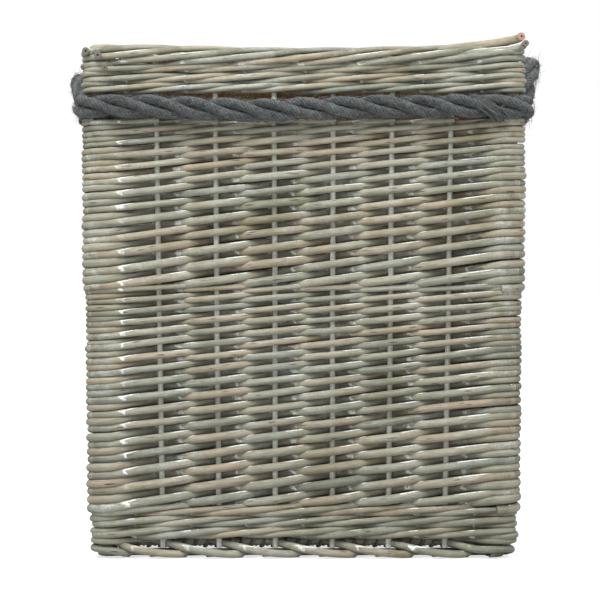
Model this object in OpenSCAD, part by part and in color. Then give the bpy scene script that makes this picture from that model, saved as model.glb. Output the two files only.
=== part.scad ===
// Square log basket woven in willow: 24 stakes and four corner posts stand round a flat woven
// base, bands of weaving run round them, and a thick three-strand rope is threaded through the
// wall below the rim, where it stands out at the left and the right as a handle.
// Millimetres. Z is up, the front wall faces -Y, and the origin is in the middle of the foot.

/* [Basket] */
// Height from the floor to the top of the rim
height = 560; // [480:1:640]
// Distance from the middle line of one wall to that of the opposite wall, at the floor
foot_w = 430; // [400:1:450]
// The same distance at the rim
mouth_w = 452; // [440:1:470]
// How far the weaving reaches on each side of a wall's middle line
weave_half_t = 11; // [10:0.5:12]
// Extra reach of the two borders outside the weaving
border_lip = 1; // [0:0.5:2]

/* [Levels] */
// Height of the foot border
foot_h = 11; // [9:1:14]
// Thickness of the woven base
base_t = 11; // [10.5:0.5:14]
// Top of the bottom wale
bottom_wale_top = 57; // [50:1:65]
// Line where the lower band of weaving ends and the upper one starts
band_line = 298; // [250:1:340]
// Top of the upper band of weaving
upper_band_top = 474; // [460:1:476]
// Underside of the top wale, above the rope
top_wale_bottom = 506; // [504:1:512]
// Underside of the top border
border_bottom = 542; // [536:1:546]

/* [Sticks] */
// Diameter of a stake
stake_d = 6.5; // [5:0.5:8]
// Diameter of a corner post
post_d = 18; // [14:1:19]
// Diameter of a base stick
stick_d = 8; // [6:0.5:8]
// Number of stakes in each wall
stakes_per_wall = 6; // [4:1:8]

/* [Rope] */
// Height of the rope where it lies flat, across the wall
rope_h = 24; // [20:1:26]
// Depth of the rope where it is pressed against the posts
rope_t = 17; // [14:1:18]
// Diameter of the rope along a handle
handle_d = 22; // [18:1:24]
// How far the right handle's crown stands from the line it turns about
right_rise = 72; // [60:1:80]
// The same for the left handle, which is pulled tighter
left_rise = 52; // [48:1:70]
// Distance of a handle's turning line from the basket's middle plane
handle_x = 246; // [245:1:250]
// Lean of the right handle from upright
right_lean = 17; // [15:1:40]
// Lean of the left handle from upright
left_lean = 19; // [15:1:40]

/* [Lining] */
// Width of the hessian lining across the outside
lining_w = 406; // [400:1:406]
// Thickness of the hessian with its folds
lining_t = 2; // [1.5:0.5:3]

/* [Hidden] */
$fn = 48;
gap = 0.05;
play = 0.3;
slack = 0.6;
walls = ["front", "right", "back", "left"];
corners = ["front_right", "back_right", "back_left", "front_left"];
stake_numbers = [1:stakes_per_wall];
bays = stakes_per_wall + 1;
base_top = foot_h + base_t;
wall_lean = atan((mouth_w - foot_w) / 2 / height);
post_wrap_r = post_d / 2 + 8.5;
rope_z = (upper_band_top + top_wale_bottom) / 2 - 1;
rope_wrap_r = post_d / 2 + slack + rope_t / 2;
foot_inner = 20;
border_inner = lining_w / 2 + 1;
stick_count = 9;
stick_y = [for (i = [1:stick_count]) stick_place(i)];

// A small arc leads from each root of a handle into the large one of its crown
root_r = 22;
handle_half = 97;
root_stub = 6;
root_y = handle_half + root_stub;
rope_stub = 3;

willow = "#9A8F80";
pale_willow = "#A99F92";
dark_willow = "#7F766B";
rope_grey = "#3E444C";
jute = "#A5835A";

// Half the distance between opposite walls' middle lines at height z
function half_w(z) = (foot_w + (mouth_w - foot_w) * z / height) / 2;

// Place of an upright in the front wall: u runs from -1 to 1 between the corner posts
function upright_at(u, z) = [u * half_w(z), -half_w(z), z];
function stake_u(i) = (2 * i - bays) / bays;

// Base sticks lie between the side walls' stakes, and the last pair lies along the edges
function stick_place(i) = let (k = i - (stick_count + 1) / 2)
    abs(k) < 4 ? k * 2 * half_w(foot_h) / bays : sign(k) * (half_w(foot_h) - post_d / 2 - stick_d / 2 - 1);

function ease(t) = (1 - cos(180 * t)) / 2;
function unit(v) = v / norm(v);
function flip(path) = [for (i = [len(path) - 1:-1:0]) path[i]];

// A round stick between two points, turned about its own line so that the seam of its
// surface lies to one side of the way it leans
module stick_between(p, q, d) {
    v = q - p;
    translate(p)
        rotate([0, acos(v.z / norm(v)), atan2(v.y, v.x)])
            rotate([0, 0, 90])
                cylinder(h = norm(v), d = d);
}

// An upright of the front wall between two heights
module upright(u, d, z0, z1) {
    stick_between(upright_at(u, z0), upright_at(u, z1), d);
}

// The 28 holes that the uprights need in a band of weaving
module upright_holes() {
    for (k = [0:3])
        rotate([0, 0, 90 * k]) {
            for (i = stake_numbers)
                upright(stake_u(i), stake_d + 2 * gap, -5, height + 5);
            upright(1, post_d + 2 * gap, -5, height + 5);
        }
}

// A four-sided block whose faces follow the walls, set off from their middle lines
module wall_block(offset, z0, z1) {
    reach = mouth_w;
    intersection() {
        translate([-reach, -reach, z0])
            cube([2 * reach, 2 * reach, z1 - z0]);
        intersection_for (k = [0:3])
            rotate([0, 0, 90 * k])
                translate([0, -half_w(0) - offset, 0])
                    rotate([wall_lean, 0, 0])
                        translate([-reach, 0, -height])
                            cube([2 * reach, 2 * reach, 3 * height]);
    }
}

// One band of weaving between two heights, thicker where it wraps the corner posts
module band(z0, z1, outer, inner) {
    difference() {
        union() {
            wall_block(outer, z0, z1);
            intersection() {
                for (k = [0:3])
                    rotate([0, 0, 90 * k])
                        upright(1, 2 * post_wrap_r, z0 - 5, z1 + 5);
                translate([-mouth_w, -mouth_w, z0])
                    cube([2 * mouth_w, 2 * mouth_w, z1 - z0]);
            }
        }
        wall_block(-inner, z0 - 1, z1 + 1);
        upright_holes();
    }
}

// A tube along a flat path: n is the normal of the path's plane, half_a lies in that plane
module tube_along(path, n, half_a, half_b, sides = 12) {
    last = len(path) - 1;
    heading = [for (i = [0:last]) unit(path[min(i + 1, last)] - path[max(i - 1, 0)])];
    points = [
        for (i = [0:last]) for (k = [0:sides - 1])
            path[i] + half_a * cos(360 * k / sides) * cross(n, heading[i])
                + half_b * sin(360 * k / sides) * n
    ];
    skin = [
        for (i = [0:last - 1]) for (k = [0:sides - 1])
            let (a = i * sides + k, b = i * sides + (k + 1) % sides)
                each [[a, b, b + sides], [a, b + sides, a + sides]]
    ];
    ends = [
        [for (k = [sides - 1:-1:0]) k],
        [for (k = [0:sides - 1]) last * sides + k]
    ];
    polyhedron(points, concat(skin, ends));
}

// The foot border: a plain ring of plaited rods that the basket stands on
module foot_border() {
    color(dark_willow)
        difference() {
            wall_block(weave_half_t - 1, 0, foot_h);
            wall_block(-foot_inner, -1, foot_h + 1);
        }
}

// The base: rods woven front to back over the base sticks
module base_weave() {
    edge = half_w(foot_h) + stake_d / 2 + 2.5;
    color(willow)
        difference() {
            translate([-edge, -edge, foot_h])
                cube([2 * edge, 2 * edge, base_t]);
            upright_holes();
            for (y = stick_y)
                translate([-edge - 1, y, foot_h + base_t / 2])
                    rotate([0, 90, 0])
                        cylinder(h = 2 * edge + 2, d = stick_d + 2 * gap);
        }
}

module base_stick(i) {
    edge = half_w(foot_h) + stake_d / 2 + 2.5;
    color(dark_willow)
        translate([-edge, stick_y[i - 1], foot_h + base_t / 2])
            rotate([0, 90, 0])
                cylinder(h = 2 * edge, d = stick_d);
}

module corner_post(k) {
    color(pale_willow)
        rotate([0, 0, 90 * k])
            upright(1, post_d, foot_h + play, border_bottom - play);
}

module stake(k, i) {
    color(pale_willow)
        rotate([0, 0, 90 * k])
            upright(stake_u(i), stake_d, foot_h + play, border_bottom - play);
}

// Three rounds of waling that lock the base of the wall
module bottom_wale() {
    color(dark_willow)
        band(base_top, bottom_wale_top, weave_half_t + border_lip, weave_half_t);
}

// Sixteen rounds of rods, butts at the bottom
module lower_band() {
    color(willow)
        band(bottom_wale_top, band_line, weave_half_t, weave_half_t);
}

// Twelve rounds of rods, butts at the bottom
module upper_band() {
    color(pale_willow)
        band(band_line, upper_band_top, weave_half_t, weave_half_t);
}

// Three rounds of waling above the rope
module top_wale() {
    color(willow)
        band(top_wale_bottom, border_bottom, weave_half_t, weave_half_t);
}

// The rim: rods laid round the mouth, over the ends of the uprights
module top_border() {
    mouth = 2 * border_inner;
    color(dark_willow)
        difference() {
            wall_block(weave_half_t + border_lip, border_bottom, height);
            translate([-border_inner, -border_inner, border_bottom - 1])
                cube([mouth, mouth, height - border_bottom + 2]);
        }
}

// Half of the rope's way round the front, from the right handle's root to the corner post: straight
// on from the handle, in behind the first stake of the right wall, out again, and round the post
function rope_half() = let (
        half = half_w(rope_z),
        root = -root_y - play,
        bend = root - rope_stub,
        stake_y = -half * stake_u(stakes_per_wall),
        inside_x = half - stake_d / 2 - slack - rope_t / 2,
        wrap_x = half + rope_wrap_r,
        steps = 8
    ) concat(
        [[handle_x, root, rope_z]],
        [for (i = [0:steps]) [handle_x + (inside_x - handle_x) * ease(i / steps),
            bend + (stake_y - bend) * i / steps, rope_z]],
        [for (i = [1:steps]) [inside_x + (wrap_x - inside_x) * ease(i / steps),
            stake_y + (-half - stake_y) * i / steps, rope_z]],
        [for (a = [15:15:90]) [half + rope_wrap_r * cos(a), -half - rope_wrap_r * sin(a), rope_z]]
    );

function rope_run() = let (right = rope_half())
    concat(right, [for (p = flip(right)) [-p.x, p.y, p.z]]);

module rope_fixed(turn) {
    color(rope_grey)
        rotate([0, 0, turn])
            tube_along(rope_run(), [0, 0, 1], rope_t / 2, rope_h / 2);
}

// A handle's curve as distances along the wall and out from the turning line: a tight bend at each
// root and one wide bend between them
function handle_curve(rise) = let (
        turn = 2 * atan(rise / handle_half),
        crown_r = handle_half / sin(turn) - root_r,
        side = concat(
            [[root_y, 0]],
            [for (i = [0:5]) let (a = turn * i / 5) [handle_half - root_r * sin(a), root_r * (1 - cos(a))]],
            [for (i = [6:-1:0]) let (a = turn * i / 7) [crown_r * sin(a), rise - crown_r * (1 - cos(a))]]
        ),
        other = [for (i = [len(side) - 2:-1:0]) [-side[i][0], side[i][1]]]
    ) concat(side, other);

// s is 1 for the right handle and -1 for the left one
module rope_handle(s, lean, rise) {
    out = [s * sin(lean), 0, cos(lean)];
    path = [for (c = handle_curve(rise)) [s * handle_x, c[0], rope_z] + c[1] * out];
    color(rope_grey)
        tube_along(path, cross(out, [0, 1, 0]), handle_d / 2, handle_d / 2);
}

// The hessian bag: a sleeve round the inside of the walls, and a floor
module lining_sides() {
    color(jute)
        translate([0, 0, base_top])
            linear_extrude(height - 8 - base_top)
                difference() {
                    square(lining_w, center = true);
                    square(lining_w - 2 * lining_t, center = true);
                }
}

module lining_floor() {
    side = lining_w - 2 * lining_t;
    color(jute)
        translate([-side / 2, -side / 2, base_top])
            cube([side, side, lining_t]);
}

foot_border();
base_weave();
for (i = [1:stick_count])
    base_stick(i);
for (k = [0:3])
    corner_post(k);
for (k = [0:3], i = stake_numbers)
    stake(k, i);
bottom_wale();
lower_band();
upper_band();
top_wale();
top_border();
rope_fixed(0);  // rope_front
rope_fixed(180);  // rope_back
rope_handle(-1, left_lean, left_rise);  // rope_handle_left
rope_handle(1, right_lean, right_rise);  // rope_handle_right
lining_sides();
lining_floor();
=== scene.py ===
# %% [markdown]
# # A wicker log basket, rod by rod
#
# The real basket is made of one thing, repeated: a willow rod that bends round uprights. So this
# lesson makes one good rod, a tube with a thick and a thin end, and then sends some three hundred
# of them along the paths that a basket maker's hands would take. The rope, the sticks and the
# hessian bag come after that.
#
# The first cell loads the measured frame. The frame holds the plain solids that the basket's
# machine model is made of, and every rod below takes its place from them.

# %% Load the measured frame
import math

import bpy
import numpy as np
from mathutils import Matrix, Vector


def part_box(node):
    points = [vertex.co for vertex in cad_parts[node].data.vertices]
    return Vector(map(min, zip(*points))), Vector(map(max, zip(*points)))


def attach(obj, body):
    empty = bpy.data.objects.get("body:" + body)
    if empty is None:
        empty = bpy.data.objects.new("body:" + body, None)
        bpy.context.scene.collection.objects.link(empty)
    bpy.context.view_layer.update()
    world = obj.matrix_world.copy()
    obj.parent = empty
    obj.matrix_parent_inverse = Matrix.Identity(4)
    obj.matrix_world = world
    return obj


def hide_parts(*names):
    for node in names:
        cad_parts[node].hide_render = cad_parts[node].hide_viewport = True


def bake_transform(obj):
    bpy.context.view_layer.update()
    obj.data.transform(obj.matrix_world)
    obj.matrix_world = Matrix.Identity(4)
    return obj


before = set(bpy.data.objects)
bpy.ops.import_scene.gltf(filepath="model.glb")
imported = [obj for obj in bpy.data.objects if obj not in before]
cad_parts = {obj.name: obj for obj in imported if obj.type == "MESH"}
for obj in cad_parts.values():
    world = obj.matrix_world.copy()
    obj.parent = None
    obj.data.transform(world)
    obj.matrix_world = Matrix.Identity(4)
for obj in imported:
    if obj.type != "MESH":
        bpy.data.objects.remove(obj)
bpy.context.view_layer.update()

# %% [markdown]
# ## Where the walls are
#
# Four walls lean outwards by about one degree. The front right corner post stands in the frame
# already, so its box tells how far the wall's middle line is from the basket's centre, at the
# foot and at the rim. Every other place in the basket follows from that one number at a height.

# %% Read the walls from a corner post
POST_R = 0.009
STAKE_R = 0.00325
WALL_BAYS = 7
BAYS = 4 * WALL_BAYS

post_low, post_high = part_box("corner_post_front_right")
FOOT_HALF = post_low.x + POST_R
RIM_HALF = post_high.x - POST_R


def half_width(z):
    """Distance from the basket's centre to a wall's middle line at height z."""
    share = (np.asarray(z, float) - post_low.z) / (post_high.z - post_low.z)
    return FOOT_HALF + (RIM_HALF - FOOT_HALF) * share


RIM_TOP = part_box("top_border")[1].z
ROPE_Z = (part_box("rope_front")[0].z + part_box("rope_front")[1].z) / 2
print(f"half width {half_width(0):.4f} m at the foot, {half_width(RIM_TOP):.4f} m at the rim")

# %% [markdown]
# ## Counting in bays
#
# A basket maker counts stakes, not millimetres: in front of one, behind the next. So a place on
# the walls is given here by a count of bays, from 0 at the front left post, over 7 at the front
# right post, round to 28, which is 0 again. The function turns such a count, a height and a
# distance out from the wall's middle line into a point. The line is a square with rounded
# corners, because willow can't turn a sharp corner.

# %% A place on the walls
CORNER_R = 0.014


def quarter_turns(x, y, quarters):
    """x and y turned about the basket's centre by whole quarter turns."""
    angle = np.radians(90.0 * quarters)
    cosine = np.round(np.cos(angle))
    sine = np.round(np.sin(angle))
    return x * cosine - y * sine, x * sine + y * cosine


def on_wall(bays, z, out, half=None, corner_r=CORNER_R):
    """Points on the walls, and the directions that point straight out of the wall there."""
    bays, z, out = np.broadcast_arrays(
        np.asarray(bays, float), np.asarray(z, float), np.asarray(out, float)
    )
    half = half_width(z) if half is None else half
    corner = np.round(bays / WALL_BAYS)
    past = (bays - WALL_BAYS * corner) * 2 * half / WALL_BAYS
    turned = np.clip(past / corner_r, -1, 1)
    angle = np.radians(225 + 45 * turned)
    centre = -(half - corner_r)
    straight = np.maximum(np.abs(past) - corner_r, 0)
    x = centre + (corner_r + out) * np.cos(angle) + np.where(past > 0, straight, 0)
    y = centre + (corner_r + out) * np.sin(angle) + np.where(past > 0, 0, straight)
    x, y = quarter_turns(x, y, corner)
    nx, ny = quarter_turns(np.cos(angle), np.sin(angle), corner)
    return np.stack([x, y, z], -1), np.stack([nx, ny, 0 * nx], -1)


def near_corner(bays, reach):
    """1 at a corner post, falling smoothly to 0 at reach bays from it."""
    past = np.abs(bays - WALL_BAYS * np.round(bays / WALL_BAYS))
    return np.cos(np.pi / 2 * np.clip(past / reach, 0, 1)) ** 2


print("the middle of the front wall at the rim:", np.round(on_wall(3.5, RIM_TOP, 0)[0], 4))

# %% [markdown]
# ## One rod
#
# A rod is a tube whose rings follow a path. Each ring is drawn with two directions: straight out
# of the wall, and up. The mesh also carries what the finish needs later, as attributes, which are
# numbers kept on each vertex: how far along the rod it is and at which side of it (so that streaks
# can run along the wood), a tone for each rod, how far it is past the stake that it crosses, how
# much whitewash was left there, and whether the vertex belongs to a cut end. Blender could bend a
# curve with a bevel instead, but a mesh made with numpy holds these numbers exactly, and hundreds
# of rods fit in one object.


# %% Gather rods and turn them into one mesh
def smooth_noise(places, spacing, rng):
    """Values from about -1 to 1 that change smoothly over spacing. places is a count, or numbers."""
    places = np.arange(places) if np.isscalar(places) else np.asarray(places) - np.min(places)
    where = places / spacing
    knots = rng.normal(0, 0.5, int(where.max()) + 3)
    first = where.astype(int)
    share = where - first
    share = share * share * (3 - 2 * share)
    return knots[first] * (1 - share) + knots[first + 1] * share


def rod(
        path, radius, out, tone=0.5, wash=0.0, start=0.0,
        sides=10, flat=1.0, slant=(0, 0), cut=1.0, stroke=9.0
):
    """A tube along path. flat is its depth against its height; slant skews the two end cuts."""
    path = np.asarray(path, float)
    count = len(path)
    radius = np.broadcast_to(np.asarray(radius, float), count)
    out = np.broadcast_to(np.asarray(out, float), (count, 3))
    ahead = np.gradient(path, axis=0)
    ahead /= np.linalg.norm(ahead, axis=1)[:, None]
    side = out - (out * ahead).sum(1)[:, None] * ahead
    side /= np.linalg.norm(side, axis=1)[:, None]
    up = np.cross(side, ahead)
    angle = np.arange(sides) * 2 * np.pi / sides
    cosine, sine = np.cos(angle), np.sin(angle)
    ring = path[:, None] + radius[:, None, None] * (
        flat * cosine[None, :, None] * side[:, None] + sine[None, :, None] * up[:, None]
    )
    for end, amount in ((0, slant[0]), (-1, slant[1])):
        ring[end] += (amount * radius[end] * sine)[:, None] * ahead[end]
    length = start + np.concatenate([[0], np.cumsum(np.linalg.norm(np.diff(path, axis=0), axis=1))])
    grain = np.empty((count, sides, 3))
    grain[..., 0] = length[:, None]
    grain[..., 1] = cosine[None, :]
    grain[..., 2] = sine[None, :]
    wash = np.broadcast_to(np.asarray(wash, float), count)
    marks = np.stack([wash, np.broadcast_to(np.asarray(stroke, float), count)], -1)
    marks = np.repeat(marks[:, None], sides, 1)
    dome = 0.15 * radius[[0, -1]]
    ends = np.stack([path[0] - dome[0] * ahead[0], path[-1] + dome[1] * ahead[-1]])
    return {"ring": ring, "grain": grain, "marks": marks, "tone": tone, "ends": ends, "cut": cut}


def tube_faces(count, sides, base):
    """The quads of a tube of rings, and the fans that close it. Each end has its own ring."""
    i, k = np.meshgrid(np.arange(count - 1), np.arange(sides), indexing="ij")
    following = (k + 1) % sides
    corner = [i * sides + k, (i + 1) * sides + k, (i + 1) * sides + following, i * sides + following]
    # Known fault: this reversal makes the sides face inwards, while the end fans face outwards
    quads = np.stack([c.ravel() for c in corner], 1)[:, ::-1] + base
    first, last = base + count * sides, base + (count + 1) * sides
    middle = base + (count + 2) * sides
    k = np.arange(sides)
    front = np.stack([np.full(sides, middle), first + k, first + (k + 1) % sides], 1)
    back = np.stack([np.full(sides, middle + 1), last + (k + 1) % sides, last + k], 1)
    return quads.tolist() + front.tolist() + back.tolist()


def rods_object(name, rods):
    """One mesh object that holds all the rods of a list."""
    points, faces, grain, marks, tone, cut = [], [], [], [], [], []
    base = 0
    for one in rods:
        count, sides = one["ring"].shape[:2]
        total = (count + 2) * sides + 2
        points += [one["ring"].reshape(-1, 3), one["ring"][0], one["ring"][-1], one["ends"]]
        grain += [one["grain"].reshape(-1, 3), one["grain"][0], one["grain"][-1]]
        grain += [one["grain"][[0, -1], :1, :].reshape(2, 3) * [1, 0, 0]]
        marks += [one["marks"].reshape(-1, 2), np.tile([0.0, 9.0], (2 * sides + 2, 1))]
        tone.append(np.full(total, one["tone"]))
        cut += [np.zeros(count * sides), np.full(2 * sides + 2, one["cut"])]
        faces += tube_faces(count, sides, base)
        base += total
    mesh = bpy.data.meshes.new(name)
    mesh.from_pydata(np.concatenate(points).tolist(), [], faces)
    for label, kind, field, values in (
        ("grain", "FLOAT_VECTOR", "vector", np.concatenate(grain)),
        ("wash", "FLOAT", "value", np.concatenate(marks)[:, 0]),
        ("stroke", "FLOAT", "value", np.concatenate(marks)[:, 1]),
        ("tone", "FLOAT", "value", np.concatenate(tone)),
        ("cut", "FLOAT", "value", np.concatenate(cut)),
    ):
        layer = mesh.attributes.new(label, kind, "POINT")
        layer.data.foreach_set(field, np.asarray(values, "f").ravel())
    mesh.polygons.foreach_set("use_smooth", np.ones(len(mesh.polygons), bool))
    mesh.update()
    piece = bpy.data.objects.new(name, mesh)
    bpy.context.scene.collection.objects.link(piece)
    print(f"{name}: {len(rods)} rods, {len(mesh.polygons)} faces")
    return piece


# %% [markdown]
# ## The camera
#
# It stands level with the middle of the basket, about 2.8 m in front of it, behind a long lens,
# so that the walls keep nearly their true shape. It comes early so that any view can be tried
# while the pieces are being made.

# %% Stand the camera in front
lens = bpy.data.cameras.new("long_lens")
lens.lens = 144.0
lens.sensor_width = 36.0
camera = bpy.data.objects.new("camera", lens)
bpy.context.scene.collection.objects.link(camera)
camera.location = (-0.0041, -2.836, 0.2816)
camera.rotation_euler = (math.radians(90), 0, 0)
bpy.context.scene.camera = camera
print("the lens sees", round(36 / lens.lens * 2.6, 3), "m across at the front wall")

# %% [markdown]
# ## Materials are built up from shared effects
#
# Willow, sticks, rope and hessian share some effects: a colour that drifts from place to place,
# fine streaks that run along a fibre, and marks of white paint that was wiped on and rubbed off.
# Each shared effect is a node group with named inputs and outputs, made once and placed in each
# material with its own values. A group puts out only colours, masks and heights. The shader
# itself stays in the material.

# %% Helpers that keep node code short
def node(tree, kind, place=(0, 0), **settings):
    """Adds a node. Settings that name an input set that input; others set the node itself."""
    made = tree.nodes.new(kind)
    made.location = place
    for key, value in settings.items():
        if hasattr(made, key):
            setattr(made, key, value)
        else:
            made.inputs[key.replace("_", " ")].default_value = value
    return made


def link(tree, source, target):
    tree.links.new(source, target)


def mix_colours(tree, share, first, second, place=(0, 0), how="MIX"):
    """Mixes two colours. Each may be a socket or a plain colour."""
    mix = node(tree, "ShaderNodeMix", place, data_type="RGBA", blend_type=how)
    for socket, value in ((mix.inputs[0], share), (mix.inputs[6], first), (mix.inputs[7], second)):
        if hasattr(value, "is_output"):
            link(tree, value, socket)
        else:
            socket.default_value = value
    return mix.outputs[2]


def mix_floats(tree, share, first, second, place=(0, 0)):
    """Mixes two numbers. Each may be a socket or a number."""
    mix = node(tree, "ShaderNodeMix", place, data_type="FLOAT")
    for socket, value in ((mix.inputs[0], share), (mix.inputs[2], first), (mix.inputs[3], second)):
        if hasattr(value, "is_output"):
            link(tree, value, socket)
        else:
            socket.default_value = value
    return mix.outputs[0]


def maths(tree, how, first, second=0.0, place=(0, 0), clamp=False):
    """One sum. Each value may be a socket or a number."""
    sum_node = node(tree, "ShaderNodeMath", place, operation=how, use_clamp=clamp)
    for socket, value in ((sum_node.inputs[0], first), (sum_node.inputs[1], second)):
        if hasattr(value, "is_output"):
            link(tree, value, socket)
        else:
            socket.default_value = value
    return sum_node.outputs[0]


def spread(tree, value, low, high, place=(0, 0), to_low=0.0, to_high=1.0):
    """Stretches the part of a value between low and high to run from to_low to to_high."""
    ranged = node(tree, "ShaderNodeMapRange", place)
    link(tree, value, ranged.inputs["Value"])
    ranged.inputs["From Min"].default_value = low
    ranged.inputs["From Max"].default_value = high
    ranged.inputs["To Min"].default_value = to_low
    ranged.inputs["To Max"].default_value = to_high
    return ranged.outputs["Result"]


def srgb(red, green, blue):
    """A colour given on a 0 to 255 scale, as the linear numbers that shaders use."""
    linear = []
    for value in (red, green, blue):
        value = value / 255
        linear.append(value / 12.92 if value <= 0.04045 else ((value + 0.055) / 1.055) ** 2.4)
    return (*linear, 1.0)


def new_group(name, inputs, outputs):
    """An empty node group with named sockets."""
    group = bpy.data.node_groups.new(name, "ShaderNodeTree")
    for label, kind in inputs:
        group.interface.new_socket(label, in_out="INPUT", socket_type=kind)
    for label, kind in outputs:
        group.interface.new_socket(label, in_out="OUTPUT", socket_type=kind)
    entry = node(group, "NodeGroupInput", (-900, 0))
    leave = node(group, "NodeGroupOutput", (900, 0))
    return group, entry, leave


def use_group(tree, group, place=(0, 0), **values):
    """Places a group in a material and sets its inputs. A value may be a socket or a constant."""
    placed = node(tree, "ShaderNodeGroup", place)
    placed.node_tree = group
    for key, value in values.items():
        socket = placed.inputs[key.replace("_", " ")]
        if hasattr(value, "is_output"):
            link(tree, value, socket)
        else:
            socket.default_value = value
    return placed


def new_material(name):
    """A material with only an empty Principled shader in it."""
    material = bpy.data.materials.new(name)
    material.use_nodes = True
    tree = material.node_tree
    shader = tree.nodes["Principled BSDF"]
    shader.location = (900, 0)
    return material, tree, shader


FLOAT, VECTOR, COLOUR = "NodeSocketFloat", "NodeSocketVector", "NodeSocketColor"
print("node helpers ready")

# %% [markdown]
# ### Streaks that run along a fibre
#
# Willow bark, split wood and twisted fibre all show long thin streaks. The group stretches noise
# along the rod: the place along it counts for little, the place round it for much. It gives a
# broad drift, a set of fine streaks, and a height for the bump.

# %% Group: fibre streaks
fibre_streaks, given, result = new_group(
    "fibre_streaks",
    [("Grain", VECTOR), ("Tone", FLOAT), ("Along", FLOAT), ("Around", FLOAT)],
    [("Drift", FLOAT), ("Streaks", FLOAT), ("Height", FLOAT)],
)
parts = node(fibre_streaks, "ShaderNodeSeparateXYZ", (-700, 100))
link(fibre_streaks, given.outputs["Grain"], parts.inputs[0])
seed = maths(fibre_streaks, "MULTIPLY", given.outputs["Tone"], 57.0, (-700, -100))
along = maths(fibre_streaks, "MULTIPLY", parts.outputs[0], given.outputs["Along"], (-500, 200))
along = maths(fibre_streaks, "ADD", along, seed, (-400, 200))
around_y = maths(fibre_streaks, "MULTIPLY", parts.outputs[1], given.outputs["Around"], (-500, 0))
around_z = maths(fibre_streaks, "MULTIPLY", parts.outputs[2], given.outputs["Around"], (-500, -200))
place = node(fibre_streaks, "ShaderNodeCombineXYZ", (-250, 0))
for number, value in enumerate((along, around_y, around_z)):
    link(fibre_streaks, value, place.inputs[number])
drift = node(fibre_streaks, "ShaderNodeTexNoise", (0, 200), Scale=0.6, Detail=3.0)
fine = node(fibre_streaks, "ShaderNodeTexNoise", (0, -100), Scale=2.6, Detail=5.0, Roughness=0.65)
for texture in (drift, fine):
    link(fibre_streaks, place.outputs[0], texture.inputs["Vector"])
streaks = spread(fibre_streaks, fine.outputs["Fac"], 0.36, 0.66, (250, -100))
link(
    fibre_streaks, spread(fibre_streaks, drift.outputs["Fac"], 0.32, 0.68, (250, 200)),
    result.inputs["Drift"]
)
link(fibre_streaks, streaks, result.inputs["Streaks"])
link(fibre_streaks, fine.outputs["Fac"], result.inputs["Height"])
print("group", fibre_streaks.name, "has", len(fibre_streaks.nodes), "nodes")

# %% [markdown]
# ### Wiped whitewash
#
# The basket was brushed with thin white paint and wiped. Paint stays where a cloth can't reach:
# beside each crossing, and in scattered rubbed patches. The first comes from the mesh, as the
# wash attribute. The second is noise in space. Fine noise then breaks the edges of both.

# %% Group: whitewash
whitewash, given, result = new_group(
    "whitewash",
    [("Kept", FLOAT), ("Streaks", FLOAT), ("Amount", FLOAT), ("Patch Size", FLOAT)],
    [("Mask", FLOAT)],
)
where = node(whitewash, "ShaderNodeTexCoord", (-900, 300))
patches = node(whitewash, "ShaderNodeTexNoise", (-600, 300), Detail=4.0, Roughness=0.6)
link(whitewash, where.outputs["Object"], patches.inputs["Vector"])
link(whitewash, given.outputs["Patch Size"], patches.inputs["Scale"])
crumbs = node(whitewash, "ShaderNodeTexNoise", (-600, 0), Scale=420.0, Detail=3.0)
link(whitewash, where.outputs["Object"], crumbs.inputs["Vector"])
rubbed = spread(whitewash, patches.outputs["Fac"], 0.46, 0.74, (-300, 300))
rubbed = maths(whitewash, "MULTIPLY", rubbed, given.outputs["Amount"], (-100, 300))
both = maths(whitewash, "ADD", rubbed, given.outputs["Kept"], (100, 200))
broken = spread(whitewash, crumbs.outputs["Fac"], 0.35, 0.62, (-300, 0), 0.45, 1.15)
streaky = spread(whitewash, given.outputs["Streaks"], 0.0, 1.0, (-300, -200), 0.6, 1.1)
both = maths(whitewash, "MULTIPLY", both, broken, (300, 200))
both = maths(whitewash, "MULTIPLY", both, streaky, (500, 200), clamp=True)
link(whitewash, both, result.inputs["Mask"])
print("group", whitewash.name, "has", len(whitewash.nodes), "nodes")

# %% [markdown]
# ### Paint left at the crossings, and a painted highlight
#
# Where a rod comes out from behind a stake, the cloth slid over it, and a small hook of white
# paint is left: one arm along the rod's upper edge, and a short one down its face. Near the other
# end of each stroke a thin white line on the upper edge is a painted highlight. The stroke
# attribute says how many bays a point is past the stake in front of which the rod passes, and the
# grain attribute says which side of the rod it is on, so both marks can be drawn sharply, however
# coarse the mesh.

# %% Group: crossing paint and painted highlight
crossing_paint_and_highlight, given, result = new_group(
    "crossing_paint_and_highlight",
    [("Grain", VECTOR), ("Stroke", FLOAT), ("Strength", FLOAT)],
    [("Mask", FLOAT)],
)


def window(tree, value, low, high, soft):
    """1 between low and high, falling to 0 over soft on both sides."""
    rising = spread(tree, value, low - soft, low + soft)
    falling = spread(tree, value, high + soft, high - soft)
    return maths(tree, "MULTIPLY", rising, falling)


parts = node(crossing_paint_and_highlight, "ShaderNodeSeparateXYZ", (-700, 200))
link(crossing_paint_and_highlight, given.outputs["Grain"], parts.inputs[0])
angle = maths(crossing_paint_and_highlight, "ARCTAN2", parts.outputs[2], parts.outputs[1], (-550, 200))
angle = maths(crossing_paint_and_highlight, "MULTIPLY", angle, 57.3, (-400, 200))
stroke = given.outputs["Stroke"]
wobble = node(crossing_paint_and_highlight, "ShaderNodeTexNoise", (-700, -200), Scale=160.0, Detail=3.0)
where = node(crossing_paint_and_highlight, "ShaderNodeTexCoord", (-900, -200))
link(crossing_paint_and_highlight, where.outputs["Object"], wobble.inputs["Vector"])
shift = spread(crossing_paint_and_highlight, wobble.outputs["Fac"], 0.3, 0.7, (-500, -200), -0.05, 0.05)
stroke = maths(crossing_paint_and_highlight, "ADD", stroke, shift, (-350, -100))
upper = maths(
    crossing_paint_and_highlight, "SUBTRACT", angle,
    spread(crossing_paint_and_highlight, stroke, -0.68, -0.40, (-200, 300), 34.0, 78.0)
)
upper = window(crossing_paint_and_highlight, upper, -15.0, 15.0, 5.0)
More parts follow.
